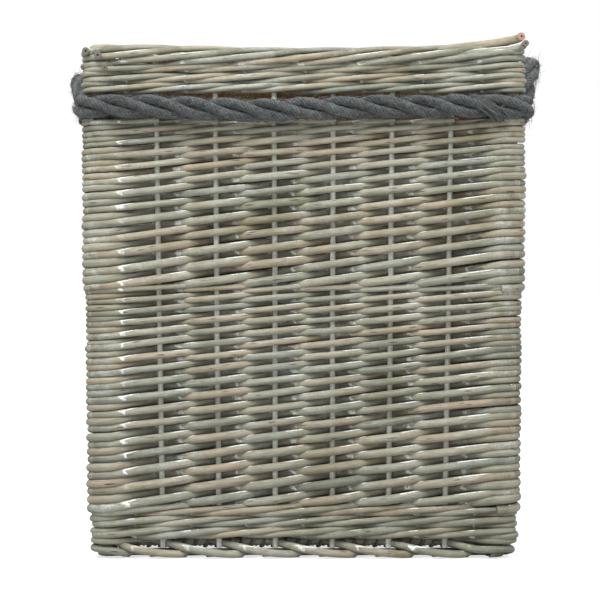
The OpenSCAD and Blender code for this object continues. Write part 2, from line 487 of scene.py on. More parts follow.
upper = maths(crossing_paint_and_highlight, "MULTIPLY", upper, window(crossing_paint_and_highlight, stroke, -0.70, -0.38, 0.03))
lower = maths(
    crossing_paint_and_highlight, "SUBTRACT", stroke,
    spread(crossing_paint_and_highlight, angle, 45.0, -35.0, (-200, 0), -0.675, -0.62)
)
lower = window(crossing_paint_and_highlight, lower, -0.034, 0.034, 0.014)
lower = maths(crossing_paint_and_highlight, "MULTIPLY", lower, window(crossing_paint_and_highlight, angle, -28.0, 48.0, 8.0))
# Painted highlight: a thin white line along the upper edge near the end of each stroke
edge = window(crossing_paint_and_highlight, angle, 49.0, 70.0, 5.0)
edge = maths(crossing_paint_and_highlight, "MULTIPLY", edge, window(crossing_paint_and_highlight, stroke, 0.22, 0.74, 0.06))
marks = maths(crossing_paint_and_highlight, "MAXIMUM", maths(crossing_paint_and_highlight, "MAXIMUM", upper, lower), edge)
marks = maths(
    crossing_paint_and_highlight, "MULTIPLY", marks, spread(crossing_paint_and_highlight, given.outputs["Strength"], 0.0, 0.7)
)
marks = maths(
    crossing_paint_and_highlight, "MULTIPLY", marks,
    spread(crossing_paint_and_highlight, wobble.outputs["Fac"], 0.3, 0.6, to_low=0.8, to_high=1.7)
)
link(crossing_paint_and_highlight, marks, result.inputs["Mask"])
print("group", crossing_paint_and_highlight.name, "has", len(crossing_paint_and_highlight.nodes), "nodes")

# %% [markdown]
# ### Grime in soft clouds
#
# Dust gathers on old willow. The group darkens and browns a surface in large soft clouds, so that
# no two parts of a wall are quite the same colour.

# %% Group: clouded dust
clouded_dust, given, result = new_group(
    "clouded_dust",
    [("Colour", COLOUR), ("Dust", COLOUR), ("Amount", FLOAT)],
    [("Colour", COLOUR)],
)
where = node(clouded_dust, "ShaderNodeTexCoord", (-700, 200))
clouds = node(clouded_dust, "ShaderNodeTexNoise", (-500, 200), Scale=11.0, Detail=4.0, Roughness=0.6)
link(clouded_dust, where.outputs["Object"], clouds.inputs["Vector"])
share = spread(clouded_dust, clouds.outputs["Fac"], 0.38, 0.72, (-250, 200))
share = maths(clouded_dust, "MULTIPLY", share, given.outputs["Amount"], (0, 200), clamp=True)
dusted = mix_colours(
    clouded_dust, share, given.outputs["Colour"], given.outputs["Dust"], (250, 0), "MULTIPLY"
)
link(clouded_dust, dusted, result.inputs["Colour"])
print("group", clouded_dust.name, "has", len(clouded_dust.nodes), "nodes")

# %% [markdown]
# ### Washed willow
#
# The woven rods are peeled willow: greyish tan, with pinkish brown and grey green rods among
# them, fine dark streaks, a bud scar here and there, and the white wash on top. A cut end shows
# pale wood round a dark pith.


# %% Material: willow
def willow_material(name, pale, warm, cool, white, patches, along, around, lit_side_paint_amount):
    """Willow in three tones under a wash. The tone attribute picks between them, rod by rod."""
    material, tree, shader = new_material(name)
    grain = node(tree, "ShaderNodeAttribute", (-1700, 300), attribute_name="grain")
    tone = node(tree, "ShaderNodeAttribute", (-1700, 100), attribute_name="tone")
    kept = node(tree, "ShaderNodeAttribute", (-1700, -100), attribute_name="wash")
    cut = node(tree, "ShaderNodeAttribute", (-1700, -300), attribute_name="cut")
    stroke = node(tree, "ShaderNodeAttribute", (-1700, -500), attribute_name="stroke")
    sides = node(tree, "ShaderNodeSeparateXYZ", (-1500, 500))
    link(tree, grain.outputs["Vector"], sides.inputs[0])
    fibre = use_group(
        tree, fibre_streaks, (-1250, 200),
        Grain=grain.outputs["Vector"], Tone=tone.outputs["Fac"], Along=along, Around=around,
    )
    # Three tones: the rod's own tone and a drift along it choose between them
    warmth = maths(tree, "ADD", tone.outputs["Fac"], fibre.outputs["Drift"], (-1050, 400))
    colour = mix_colours(tree, spread(tree, warmth, 0.95, 1.55, (-900, 400)), pale, warm, (-700, 400))
    colour = mix_colours(tree, spread(tree, warmth, 0.85, 0.35, (-900, 250)), colour, cool, (-550, 400))
    # Streaks darken it, and the side that faces out is painted paler than the sides that face into the
    # weave, as painted shade
    shade = spread(tree, fibre.outputs["Streaks"], 0.0, 1.0, (-900, 0), 0.66, 1.14)
    side_shade = spread(tree, sides.outputs[1], -0.5, 0.9, (-900, -100), 0.66, 1.06)
    shade = maths(tree, "MULTIPLY", shade, side_shade, (-700, 0))
    # Painted shade: where a rod passes behind a stake it is painted darker; more whitewash patches are also
    # kept there
    behind = maths(tree, "ABSOLUTE", stroke.outputs["Fac"], 0.0, (-1100, -450))
    behind = window(tree, behind, 0.86, 1.4, 0.11)
    shade = maths(
        tree, "MULTIPLY", shade, spread(tree, behind, 0.0, 1.0, (-600, -450), 1.0, 0.74), (-500, 0)
    )
    # Painted shade: the walls are painted darker towards the foot and a little paler towards the rim
    where = node(tree, "ShaderNodeTexCoord", (-1300, -700))
    level = node(tree, "ShaderNodeSeparateXYZ", (-1100, -700))
    link(tree, where.outputs["Object"], level.inputs[0])
    foot_shade = spread(tree, level.outputs[2], 0.05, 0.45, (-900, -700), 0.94, 1.05)
    shade = maths(tree, "MULTIPLY", shade, foot_shade, (-500, -200))
    shaded = node(tree, "ShaderNodeVectorMath", (-400, 300), operation="SCALE")
    link(tree, colour, shaded.inputs[0])
    link(tree, shade, shaded.inputs["Scale"])
    # Bud scars: one here and there along a rod
    stretched = node(tree, "ShaderNodeVectorMath", (-1100, -250), operation="MULTIPLY")
    link(tree, grain.outputs["Vector"], stretched.inputs[0])
    stretched.inputs[1].default_value = (26.0, 0.9, 0.9)
    shifted = node(tree, "ShaderNodeVectorMath", (-1000, -250), operation="ADD")
    link(tree, stretched.outputs[0], shifted.inputs[0])
    link(tree, tone.outputs["Fac"], shifted.inputs[1])
    scars = node(tree, "ShaderNodeTexVoronoi", (-900, -250), Scale=1.0, Randomness=1.0)
    link(tree, shifted.outputs[0], scars.inputs["Vector"])
    scar = spread(tree, scars.outputs["Distance"], 0.16, 0.08, (-700, -250))
    marked = mix_colours(tree, scar, shaded.outputs[0], srgb(74, 60, 46), (-200, 250))
    dusty = use_group(tree, clouded_dust, (0, 250), Colour=marked, Dust=srgb(186, 188, 168), Amount=0.8)
    # White paint: hooks at the crossings, with thin lines on the upper edges that are painted highlights,
    # and a little more paint in patches and in the grain. The plain paint is kept to each rod's upper side,
    # an upright's left side, as a painted highlight
    hooks = use_group(
        tree, crossing_paint_and_highlight, (-400, -50), Grain=grain.outputs["Vector"],
        Stroke=stroke.outputs["Fac"], Strength=kept.outputs["Fac"],
    )
    lit_side = spread(tree, sides.outputs[2], -0.5, 0.6, (-600, -150), 0.25, 1.0)
    lit_side_paint = maths(tree, "MULTIPLY", maths(tree, "MULTIPLY", kept.outputs["Fac"], lit_side_paint_amount), lit_side)
    paint = use_group(
        tree, whitewash, (-200, 0), Kept=maths(tree, "ADD", hooks.outputs["Mask"], lit_side_paint),
        Streaks=fibre.outputs["Streaks"], Patch_Size=23.0,
        Amount=maths(tree, "ADD", maths(tree, "MULTIPLY", behind, 0.7), patches, (-400, -250)),
    )
    washed = mix_colours(tree, paint.outputs["Mask"], dusty.outputs["Colour"], white, (250, 200))
    # A cut end: pale wood round a dark pith
    flattened = node(tree, "ShaderNodeVectorMath", (-400, -300), operation="MULTIPLY")
    link(tree, grain.outputs["Vector"], flattened.inputs[0])
    flattened.inputs[1].default_value = (0.0, 1.0, 1.0)
    pith = node(tree, "ShaderNodeVectorMath", (-200, -300), operation="LENGTH")
    link(tree, flattened.outputs[0], pith.inputs[0])
    heart = spread(tree, pith.outputs["Value"], 0.22, 0.36, (0, -300))
    fresh = spread(tree, tone.outputs["Fac"], 0.55, 0.9, (0, -450))
    wood = mix_colours(tree, fresh, srgb(112, 108, 98), srgb(164, 136, 114), (100, -400))
    wood = mix_colours(tree, heart, srgb(46, 40, 36), wood, (200, -300))
    dipped = spread(tree, kept.outputs["Fac"], 0.8, 1.0, (200, -450), 0.0, 0.75)
    wood = mix_colours(tree, dipped, wood, white, (350, -300))
    finished = mix_colours(tree, cut.outputs["Fac"], washed, wood, (500, 100))
    link(tree, finished, shader.inputs["Base Color"])
    rough = spread(tree, fibre.outputs["Streaks"], 0.0, 1.0, (500, -100), 0.92, 0.78)
    rough = maths(tree, "ADD", rough, maths(tree, "MULTIPLY", paint.outputs["Mask"], 0.15), (650, -100))
    link(tree, rough, shader.inputs["Roughness"])
    height = maths(
        tree, "ADD", fibre.outputs["Height"], maths(tree, "MULTIPLY", scar, 0.8), (300, -500)
    )
    height = maths(
        tree, "ADD", height, maths(tree, "MULTIPLY", paint.outputs["Mask"], 0.35), (450, -500)
    )
    bump = node(tree, "ShaderNodeBump", (650, -400), Strength=0.55, Distance=0.0007)
    link(tree, height, bump.inputs["Height"])
    link(tree, bump.outputs["Normal"], shader.inputs["Normal"])
    shader.inputs["Specular IOR Level"].default_value = 0.15
    print("material", name, "has", len(tree.nodes), "nodes")
    return material


WASHED_WILLOW = willow_material(
    "washed_willow", srgb(153, 152, 136), srgb(164, 150, 129), srgb(134, 137, 126),
    srgb(218, 223, 217), 0.26, 26.0, 3.0, 0.10,
)
PALE_STICK = willow_material(
    "pale_stick", srgb(196, 196, 182), srgb(188, 182, 162), srgb(176, 180, 170),
    srgb(236, 240, 234), 0.9, 14.0, 4.5, 2.6,
)

# %% [markdown]
# ## Willow sticks that stand upright
#
# Twenty-four stakes and four thick corner posts stand in the base and run up through all the
# weaving. Real ones are nearly straight, a little thinner at the top, and never perfectly even.
# The frame holds a plain cylinder for each, so each wall's six are one new piece that stands
# for them.


# %% Stakes and corner posts
def upright(bay, radius, z0, z1, rng, sides, tone):
    """A stick that stands at a count of bays."""
    count = 60
    z = np.linspace(z0, z1, count)
    path, out = on_wall(np.full(count, float(bay)), z, 0.0)
    if bay % WALL_BAYS == 0:
        corner = bay // WALL_BAYS
        x, y = quarter_turns(-half_width(z), -half_width(z), float(corner))
        path = np.stack([x, y, z], -1)
    path[:, :2] += 0.0003 * np.stack([smooth_noise(count, 14, rng), smooth_noise(count, 14, rng)], -1)
    thick = radius * (1.0 - 0.05 * (z - z0) / (z1 - z0) + 0.02 * smooth_noise(count, 5, rng))
    kept = np.clip(0.25 + 0.25 * smooth_noise(count, 3, rng), 0, 1)
    return rod(path, thick, out, tone, kept, rng.uniform(0, 3), sides)


rng = np.random.default_rng(11)
WALLS = ("front", "right", "back", "left")
uprights = []
for wall, label in enumerate(WALLS):
    names = [f"stake_{label}_{i}" for i in range(1, WALL_BAYS)]
    low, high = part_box(names[0])
    stakes = [
        upright(wall * WALL_BAYS + i, STAKE_R, low.z, high.z, rng, 10, rng.uniform(0.2, 0.8))
        for i in range(1, WALL_BAYS)
    ]
    uprights.append((rods_object(f"stakes_{label}", stakes), names, PALE_STICK, "willow_sticks"))
for corner, label in enumerate(("front_left", "front_right", "back_right", "back_left")):
    low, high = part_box(f"corner_post_{label}")
    post = upright(corner * WALL_BAYS, POST_R, low.z, high.z, rng, 24, rng.uniform(0.3, 0.7))
    solids = [f"corner_post_{label}"]
    uprights.append((rods_object(f"post_{label}", [post]), solids, WASHED_WILLOW, "willow_sticks"))
for piece, names, finish, slot in uprights:
    piece.data.materials.append(finish)
    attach(piece, "basket")
    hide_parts(*names)

# %% [markdown]
# ## Randing, the plain weave of the walls
#
# In French randing every bay has its own rod. All 28 start side by side, each behind its own
# stake, and all climb together: in front of one stake, behind the next, a little higher each
# time. Seen from the front, that gives short slanting strokes that climb to the right. At a
# corner every rod goes round the outside of the post, whichever its turn would be, and that is
# what makes the basket's edges so dense. A rod is thick where it starts and thin where it ends,
# so the strokes at the top of a band are finer than those at its foot. There are two bands, with
# a fresh set of rods in each.
#
# The rod's height is a parabola in the count of bays, because each step is a little smaller than
# the one before. Its distance from the middle line is a cosine. Where a rod has just come out
# from behind a stake, the wiping cloth missed it, so a small hook of white paint is left.


# %% Steps along the walls, and clearances
def wall_steps(begin, first, last, per_bay=7):
    """Counts of bays from first to last, closer together where a rod turns round a post."""
    count = int((last - first) * per_bay) + 1
    steps = [np.linspace(first, last, count)]
    for corner in range(int((begin + first) // WALL_BAYS), int((begin + last) // WALL_BAYS) + 2):
        close = corner * WALL_BAYS - begin + np.linspace(-0.28, 0.28, 15)
        steps.append(close[(close > first) & (close < last)])
    return np.unique(np.round(np.concatenate(steps), 4))


def turning_radius(motion):
    """A rod turns tightly outside a corner post and widely inside it. motion is 1 outside."""
    return CORNER_R - 0.006 * np.clip(motion, -1, 1)


def stake_clearance(thickness):
    """How far a rod's middle passes from the middle of a stake."""
    return STAKE_R + thickness / 2 - 0.0003


def post_clearance(thickness, bend, outside):
    """The same for a corner post, measured from the rounded line that cuts its corner."""
    return POST_R + thickness / 2 + 0.414 * bend * outside


print("in front of a stake a 9 mm rod stands out", round(stake_clearance(0.009) * 1000, 2), "mm")


# %% One band of randing
def randing(name, z_start, first_pitch, last_pitch, bays, spare, level, rng):
    """28 rods that climb together. level is the count of last bays in which they lie flatter."""
    rods = []
    for start in range(BAYS):
        step = wall_steps(start, -0.12, bays + 0.05)
        pitch = first_pitch - (first_pitch - last_pitch) * np.clip(step, 0, bays) / bays
        climb = (first_pitch * step - (first_pitch - last_pitch) * step**2 / (2 * bays)) / 2
        climb = climb - 0.35 * last_pitch / 2 * np.clip(step - (bays - level), 0, None)
        own = rng.normal(1, 0.05)
        thick = spare * pitch / 2 * own * (1 + 0.07 * smooth_noise(step, 1.7, rng))
        z = z_start + climb + 0.0013 * smooth_noise(step, 1.3, rng)
        wave = -np.cos(np.pi * step)
        corner = WALL_BAYS * np.round((start + step) / WALL_BAYS)
        its_turn = np.cos(np.pi * (corner - start)) < 0
        share = np.where(its_turn, near_corner(start + step, 0.55), near_corner(start + step, 1.0))
        bend = turning_radius(1.0)
        out = wave * stake_clearance(thick) * (1 - share)
        out = out + post_clearance(thick, bend, 1) * share
        out = out + 0.0007 * smooth_noise(step, 1.6, rng)
        path, normal = on_wall(start + step, z, out, corner_r=bend)
        stroke = step - (2 * np.floor(step / 2) + 1)
        kept = np.clip(0.55 + 0.7 * smooth_noise(step, 1.1, rng), 0, 1)
        rods.append(
            rod(path, thick / 2, normal, rng.uniform(0, 1), kept, rng.uniform(0, 5), 10, stroke=stroke)
        )
    return rods_object(name, rods)


rng = np.random.default_rng(21)
low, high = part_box("lower_band")
lower_randing = randing("lower_randing", low.z - 0.0018, 0.0182, 0.0107, 34, 1.09, 1.5, rng)
low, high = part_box("upper_band")
upper_randing = randing("upper_randing", low.z - 0.0033, 0.0182, 0.0113, 25, 1.09, 1.0, rng)
for piece, solid in ((lower_randing, "lower_band"), (upper_randing, "upper_band")):
    piece.data.materials.append(WASHED_WILLOW)
    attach(piece, "basket")
    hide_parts(solid)

# %% [markdown]
# ## Waling, the firm bands
#
# A wale locks the stakes at the foot and under the rim. Three rods work together, each in front
# of two stakes and behind one, and each is one stake behind the next. In front of any stake lie
# two strokes, one above the other, so three rounds look like a fat cord of six lines. Two
# harmonics of a sine make the in and out motion, and two more make each stroke climb while it is
# outside and drop back while it is hidden. At the end of each round the rods step up together.


# %% The two wales
def wale(name, z_first, round_rise, rounds, thick_start, thick_end, rng):
    """Three rods that go round the walls, from the back left corner."""
    rods = []
    first_bay = 21
    for lead in range(3):
        begin = lead - 1.0
        for length in [27] * (rounds - 1) + [30]:
            step = wall_steps(first_bay, begin - 0.25, begin + length + 0.25)
            share = (step - begin) / length
            begin += length
            thick = (thick_start + (thick_end - thick_start) * share) * rng.normal(1, 0.05)
            thick = thick * (1 + 0.10 * smooth_noise(step, 2.1, rng))
            phase = (step - lead) % 3
            theta = 2 * np.pi * (phase - 0.5) / 3
            motion = 0.3333 + 1.1 * np.cos(theta) - 0.2333 * np.cos(2 * theta)
            bend = turning_radius(motion)
            share = near_corner(first_bay + step, 0.6)
            side = np.clip(motion, -1, 1)
            out = motion * stake_clearance(thick) * (1 - share)
            out = out + side * post_clearance(thick, bend, side) * share
            out = out + 0.0006 * smooth_noise(step, 1.7, rng)
            done = np.clip(step, 0, BAYS * rounds - 0.01) / BAYS
            rise = np.floor(done) + np.clip((done % 1 - 0.93) / 0.07, 0, 1) ** 2
            rise = np.minimum(rise, rounds - 1)
            climb = round_rise / 2 * (0.677 * np.sin(theta) - 0.1 * np.sin(2 * theta))
            z = z_first + round_rise * rise + climb + 0.0012 * smooth_noise(step, 1.9, rng)
            path, normal = on_wall(first_bay + step, z, out, corner_r=bend)
            stroke = np.where(phase > 2, phase - 3.15, np.where(phase < 0.6, phase - 0.15, phase - 1))
            kept = np.clip(0.45 + 0.8 * smooth_noise(step, 1.3, rng), 0, 1)
            rods.append(rod(
                path, thick / 2, normal, rng.uniform(0, 1), kept, rng.uniform(0, 5), 10, stroke=stroke
            ))
    return rods_object(name, rods)


rng = np.random.default_rng(31)
low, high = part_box("bottom_wale")
bottom_waling = wale("bottom_waling", low.z + 0.0062, 0.0121, 3, 0.0072, 0.0064, rng)
low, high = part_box("top_wale")
top_waling = wale("top_waling", low.z + 0.0062, 0.0108, 3, 0.0067, 0.0058, rng)
for piece, solid in ((bottom_waling, "bottom_wale"), (top_waling, "top_wale")):
    piece.data.materials.append(WASHED_WILLOW)
    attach(piece, "basket")
    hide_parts(solid)

# %% [markdown]
# ## The foot border
#
# Turn the basket over and the foot is a ring of rods, one for each upright. Each comes out from
# under the wale, slants down to the right past the next upright, tucks under the basket and ends
# in a long slanting cut. The basket stands on these cuts. A few measured points on each rod's
# way and a smooth curve through them are enough.


# %% A smooth way through a few points
def smooth_way(stops, count):
    """A curve through rows of numbers, even in its first column."""
    stops = np.asarray(stops, float)
    where = np.linspace(stops[0, 0], stops[-1, 0], count)
    slope = np.gradient(stops, stops[:, 0], axis=0)
    index = np.clip(np.searchsorted(stops[:, 0], where, side="right") - 1, 0, len(stops) - 2)
    gap = stops[index + 1, 0] - stops[index, 0]
    s = ((where - stops[index, 0]) / gap)[:, None]
    gap = gap[:, None]
    return (
        (2 * s**3 - 3 * s**2 + 1) * stops[index]
        + (s**3 - 2 * s**2 + s) * gap * slope[index]
        + (3 * s**2 - 2 * s**3) * stops[index + 1]
        + (s**3 - s**2) * gap * slope[index + 1]
    )


def border_rods(stops, thick, ends, slant, rng, count, strength, sag=0.0, raise_corner=0.0):
    """One rod for each upright, on the same way. stops are bays, height and distance out."""
    rods = []
    for start in range(BAYS):
        way = smooth_way(stops, count)
        way[:, 1] += 0.0005 * smooth_noise(count, count / 3, rng)
        way[:, 2] += 0.0006 * smooth_noise(count, count / 3, rng)
        bays = start + way[:, 0]
        way[:, 1] -= sag * (1 - near_corner(bays, 3.5))
        lift = near_corner(bays, 0.5)
        way[:, 1] += raise_corner * lift
        out = way[:, 2] + 0.004 * lift * (way[:, 2] > 0)
        path, normal = on_wall(bays, way[:, 1], out)
        radius = thick / 2 * np.linspace(1, ends, count) * rng.normal(1, 0.04)
        kept = np.clip(strength + 0.6 * smooth_noise(count, 7, rng), 0, 1)
        rods.append(rod(
            path, radius, normal, rng.uniform(0, 1), kept, rng.uniform(0, 5), 10, 1.0, slant,
            stroke=way[:, 0] - 1.1,
        ))
    return rods


rng = np.random.default_rng(41)
foot_way = [
    (-0.15, 0.0185, -0.0070), (0.10, 0.0158, -0.0010), (0.35, 0.0124, 0.0068), (0.65, 0.0090, 0.0108),
    (1.00, 0.0062, 0.0112), (1.25, 0.0050, 0.0082), (1.45, 0.0047, 0.0010),
]
foot_rods = border_rods(foot_way, 0.0090, 0.93, (0.0, 3.0), rng, 34, 0.5, raise_corner=0.0045)
for corner in range(4):
    bays = corner * WALL_BAYS + np.linspace(-0.95, 0.95, 45)
    share = near_corner(bays, 0.7)
    bend = turning_radius(1.0)
    out = -0.0045 * (1 - share) + post_clearance(0.0068, bend, 1) * share
    path, normal = on_wall(bays, np.full(45, 0.0196), out, corner_r=bend)
    foot_rods.append(rod(path, 0.0034, normal, rng.uniform(0.3, 0.7), 0.5, rng.uniform(0, 5)))
foot_plait = rods_object("foot_plait", foot_rods)
inner_way = [
    (-0.20, 0.0052, 0.0050), (0.30, 0.0055, -0.0050), (1.00, 0.0060, -0.0120), (1.80, 0.0048, -0.0150),
    (2.30, 0.0040, -0.0120),
]
inner_plait = rods_object(
    "foot_plait_inner", border_rods(inner_way, 0.0075, 0.9, (0.5, 2.0), rng, 26, 0.2)
)
for piece in (foot_plait, inner_plait):
    piece.data.materials.append(WASHED_WILLOW)
    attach(piece, "basket")
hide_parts("foot_border")

# %% [markdown]
# ## The top border
#
# At the rim each upright is bent down to the right. It runs outside past two neighbours, climbs
# over the top, and is cut off inside. The strokes lie like roof tiles, so the rim is rounded and
# strong. A few rods end in the open at the front corners, where the maker finished: two rise
# past the corner at the right, and at the left the cut ends look straight out.

# %% The rim
rng = np.random.default_rng(51)
top_way = [
    (-0.10, 0.5300, 0.0000), (0.15, 0.5370, 0.0030), (0.50, 0.5410, 0.0078), (1.00, 0.5438, 0.0108),
    (1.50, 0.5475, 0.0118), (2.00, 0.5512, 0.0108), (2.50, 0.5550, 0.0068), (3.00, 0.5566, -0.0010),
    (3.50, 0.5560, -0.0085), (4.00, 0.5535, -0.0145), (4.50, 0.5500, -0.0170), (4.90, 0.5455, -0.0165),
]
rim_rods = border_rods(top_way, 0.0074, 0.85, (0.0, 0.8), rng, 58, 0.5, 0.0035)
rim_plait = rods_object("rim_plait", rim_rods)


def loose_rod(points, radius, tone, slant=(0, 0), kept=0.3, sides=12):
    """A single rod through a few points in space, with open cut ends."""
    points = np.asarray(points, float)
    table = np.column_stack([np.linspace(0, 1, len(points)), points])
    path = smooth_way(table, 18)[:, 1:]
    middle = points.mean(0)
    out = np.array([middle[0], middle[1], 0.0])
    if abs(middle[1]) > abs(middle[0]):
        out[0] = 0
    else:
        out[1] = 0
    out /= np.linalg.norm(out)
    return rod(
        path, np.linspace(radius, radius * 0.95, 18), out,
        tone, kept, tone * 3, sides, 1.0, slant, stroke=0.3
    )


RIM_FACE = -half_width(RIM_TOP) - 0.0085
corner_ends = [
    loose_rod([
        (0.120, RIM_FACE + 0.014, 0.5490), (0.160, RIM_FACE + 0.004, 0.5545),
        (0.200, RIM_FACE + 0.002, 0.5590),
        (0.2290, RIM_FACE + 0.001, 0.5640), (0.2350, RIM_FACE - 0.011, 0.5662),
    ], 0.0047, 0.95, (0, 0.0), 0.05),
    loose_rod([
        (0.110, RIM_FACE + 0.012, 0.5420), (0.160, RIM_FACE + 0.001, 0.5480),
        (0.200, RIM_FACE - 0.002, 0.5510),
        (0.2310, RIM_FACE - 0.003, 0.5545), (0.2370, RIM_FACE - 0.012, 0.5560),
    ], 0.0038, 0.30, (0, 0.1), 1.0),
    loose_rod([
        (0.2300, -0.130, 0.5540), (0.2385, -0.190, 0.5580), (0.2395, -0.2470, 0.5588),
    ], 0.0038, 0.20, (0, 0.1), 1.0),
    loose_rod([
        (-0.2300, -0.150, 0.5470), (-0.2372, -0.205, 0.5490), (-0.2355, -0.2455, 0.5505),
    ], 0.0042, 0.25, (0, 0.2)),
    loose_rod([
        (-0.2200, -0.180, 0.5440), (-0.2240, -0.215, 0.5455), (-0.2225, -0.2470, 0.5460),
    ], 0.0044, 0.15, (0, 0.1)),
    loose_rod([
        (-0.2170, -0.200, 0.5330), (-0.2168, -0.220, 0.5332), (-0.2150, -0.2475, 0.5325),
    ], 0.0036, 0.40, (0, 0.1), 1.0),
]
rim_ends = rods_object("rim_loose_ends", corner_ends)
for piece in (rim_plait, rim_ends):
    piece.data.materials.append(WASHED_WILLOW)
    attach(piece, "basket")
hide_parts("top_border")

# %% [markdown]
# ## The base
#
# Nine straight sticks lie side to side, and one thin split rod after another is woven over and
# under them from front to back. It turns round the outermost stick and comes back beside itself.
# Under the foot, these turns show as a row of small upright bars. A split rod is flat on one
# side, so its section here is an oval.

# %% Base sticks and their weaving
rng = np.random.default_rng(61)
STICKS = sorted(
    (f"base_stick_{i}" for i in range(1, 10)), key=lambda n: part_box(n)[0].y
)
stick_y = np.array([(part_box(n)[0].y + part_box(n)[1].y) / 2 for n in STICKS])
stick_z = (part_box(STICKS[4])[0].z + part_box(STICKS[4])[1].z) / 2
sticks = []
for name in STICKS:
    low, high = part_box(name)
    x = np.linspace(low.x, high.x, 40)
    y = np.full(40, (low.y + high.y) / 2)
    path = np.stack([x, y, np.full(40, stick_z)], -1)
    radius = (high.z - low.z) / 2 * (1 + 0.02 * smooth_noise(40, 5, rng))
    sticks.append(rod(path, radius, (0, -1, 0), rng.uniform(0.2, 0.9), 0.0, rng.uniform(0, 4), 14))
base_sticks = rods_object("base_sticks", sticks)

PITCH = 0.0062
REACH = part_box("base_weave")[1].x - 0.004
runs = int(2 * REACH / PITCH)
SKEIN_R = 0.0013
over = 0.0040 + SKEIN_R
serpent = []
for run in range(runs):
    x = -REACH + PITCH * (run + 0.5)
    order = range(len(STICKS)) if run % 2 == 0 else range(len(STICKS) - 1, -1, -1)
    order = list(order)
    for number, stick in enumerate(order):
        height = over if (stick + run) % 2 == 0 else -over
        serpent.append((x, stick_y[stick], stick_z + height))
        if number < len(order) - 1:
            following = stick_y[order[number + 1]]
            for share in (0.25, 0.5, 0.75):
                y = stick_y[stick] + (following - stick_y[stick]) * share
                serpent.append((x, y, stick_z + height * math.cos(math.pi * share)))
    if run < runs - 1:
        edge = math.copysign(1, stick_y[order[-1]])
        height = over if (order[-1] + run) % 2 == 0 else -over
        for share in (0.2, 0.4, 0.6, 0.8):
            y = stick_y[order[-1]] + edge * over * math.sin(math.pi * share)
            serpent.append((x + PITCH * share, y, stick_z + height * math.cos(math.pi * share)))
serpent = np.array(serpent)
outward = np.tile([1.0, 0.0, 0.0], (len(serpent), 1))
skeins = []
PER_SKEIN = 4 * (4 * (len(STICKS) - 1) + 5)
for first in range(0, len(serpent) - 2, PER_SKEIN):
    piece = serpent[first:first + PER_SKEIN + 1]
    flat_r = np.full(len(piece), SKEIN_R)
    kept = np.clip(0.3 + 0.5 * smooth_noise(len(piece), 9, rng), 0, 1)
    skeins.append(
        rod(piece, flat_r, outward[:len(piece)], rng.uniform(0, 1), kept, rng.uniform(0, 4), 8, 1.75)
    )
base_weaving = rods_object("base_weaving", skeins)
base_sticks.data.materials.append(PALE_STICK)
base_weaving.data.materials.append(WASHED_WILLOW)
for piece, slot in ((base_sticks, "willow_sticks"), (base_weaving, "washed_willow")):
    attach(piece, "basket")
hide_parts(*STICKS)
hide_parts("base_weave")
print(runs, "runs of weaving lie across the base")

# %% [markdown]
# ## Rope
#
# The rope has three strands that turn round each other. Its path first: a smooth line through
# the middle of the rope, from the right handle's front root, in behind the first stake, round the
# corner post, across the front and on to the left handle. The back is the same, turned half way
# round. The handles are arches between the roots. All four join into one loop, so the twist runs
# on without a break.


# %% The rope's way
def ease(share):
    """From 0 to 1 with a flat start and a flat end."""
    return share * share * (3 - 2 * share)


def even_points(points, spacing):
    """The same line with points spaced evenly along it."""
    points = np.asarray(points, float)
    gaps = np.linalg.norm(np.diff(points, axis=0), axis=1)
    keep = np.concatenate([[True], gaps > 1e-6])
    points = points[keep]
    length = np.concatenate([[0], np.cumsum(np.linalg.norm(np.diff(points, axis=0), axis=1))])
    count = max(int(length[-1] / spacing), 8)
    where = np.linspace(0, length[-1], count + 1)
    return np.stack([np.interp(where, length, points[:, k]) for k in range(3)], -1)


ROPE_T, ROPE_H, HANDLE_D = 0.018, 0.026, 0.022
HANDLE_X = 0.246
ROOT_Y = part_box("rope_handle_right")[1].y
ROPE_HALF_W = float(half_width(ROPE_Z))
inside_x = ROPE_HALF_W - STAKE_R - 0.0006 - ROPE_T / 2
wrap_r = POST_R + 0.0006 + ROPE_T / 2
wrap_x = ROPE_HALF_W + wrap_r
first_stake = -ROPE_HALF_W * 5 / 7
bend = -ROOT_Y - 0.003
right_half = [(HANDLE_X, -ROOT_Y, ROPE_Z)]
for share in np.linspace(0, 1, 9):
    y = bend + (first_stake - bend) * share
    right_half.append((HANDLE_X + (inside_x - HANDLE_X) * ease(share), y, ROPE_Z))
for share in np.linspace(0, 1, 9)[1:]:
    y = first_stake + (-ROPE_HALF_W - first_stake) * share
    right_half.append((inside_x + (wrap_x - inside_x) * ease(share), y, ROPE_Z))
for angle in np.radians(range(15, 91, 15)):
    x = ROPE_HALF_W + wrap_r * math.cos(angle)
    right_half.append((x, -ROPE_HALF_W - wrap_r * math.sin(angle), ROPE_Z))
front_way = [(-x, y, z) for x, y, z in right_half] + right_half[::-1]
front_way = even_points(front_way, 0.004)
hang = np.clip((0.215 - np.abs(front_way[:, 0])) / 0.10, 0, 1) * (front_way[:, 1] < -0.2)
front_way[:, 2] += 0.002 * ease(np.clip((np.abs(front_way[:, 1]) - 0.13) / 0.05, 0, 1))
front_way[:, 2] -= 0.0045 * ease(hang) * np.exp(-(((front_way[:, 0] + 0.05) / 0.09) ** 2))
back_way = front_way * [-1, -1, 1]
print(
    "one fixed run of rope is",
    round(np.linalg.norm(np.diff(front_way, axis=0), axis=1).sum(), 3), "m long"
)

# %% [markdown]
# A handle lies in a slanting plane. Its two roots are in line with the joint's axis, and it turns
# about that axis like a bucket's bail. The axis's place and the lean are given as numbers; the right
# handle's box gives how far apart the roots are, and each handle's box gives its height.

# %% The handles' ways
LEAN = {"right": math.radians(17), "left": math.radians(19)}
HANDLE_HALF, ROOT_R = ROOT_Y - 0.006, 0.022


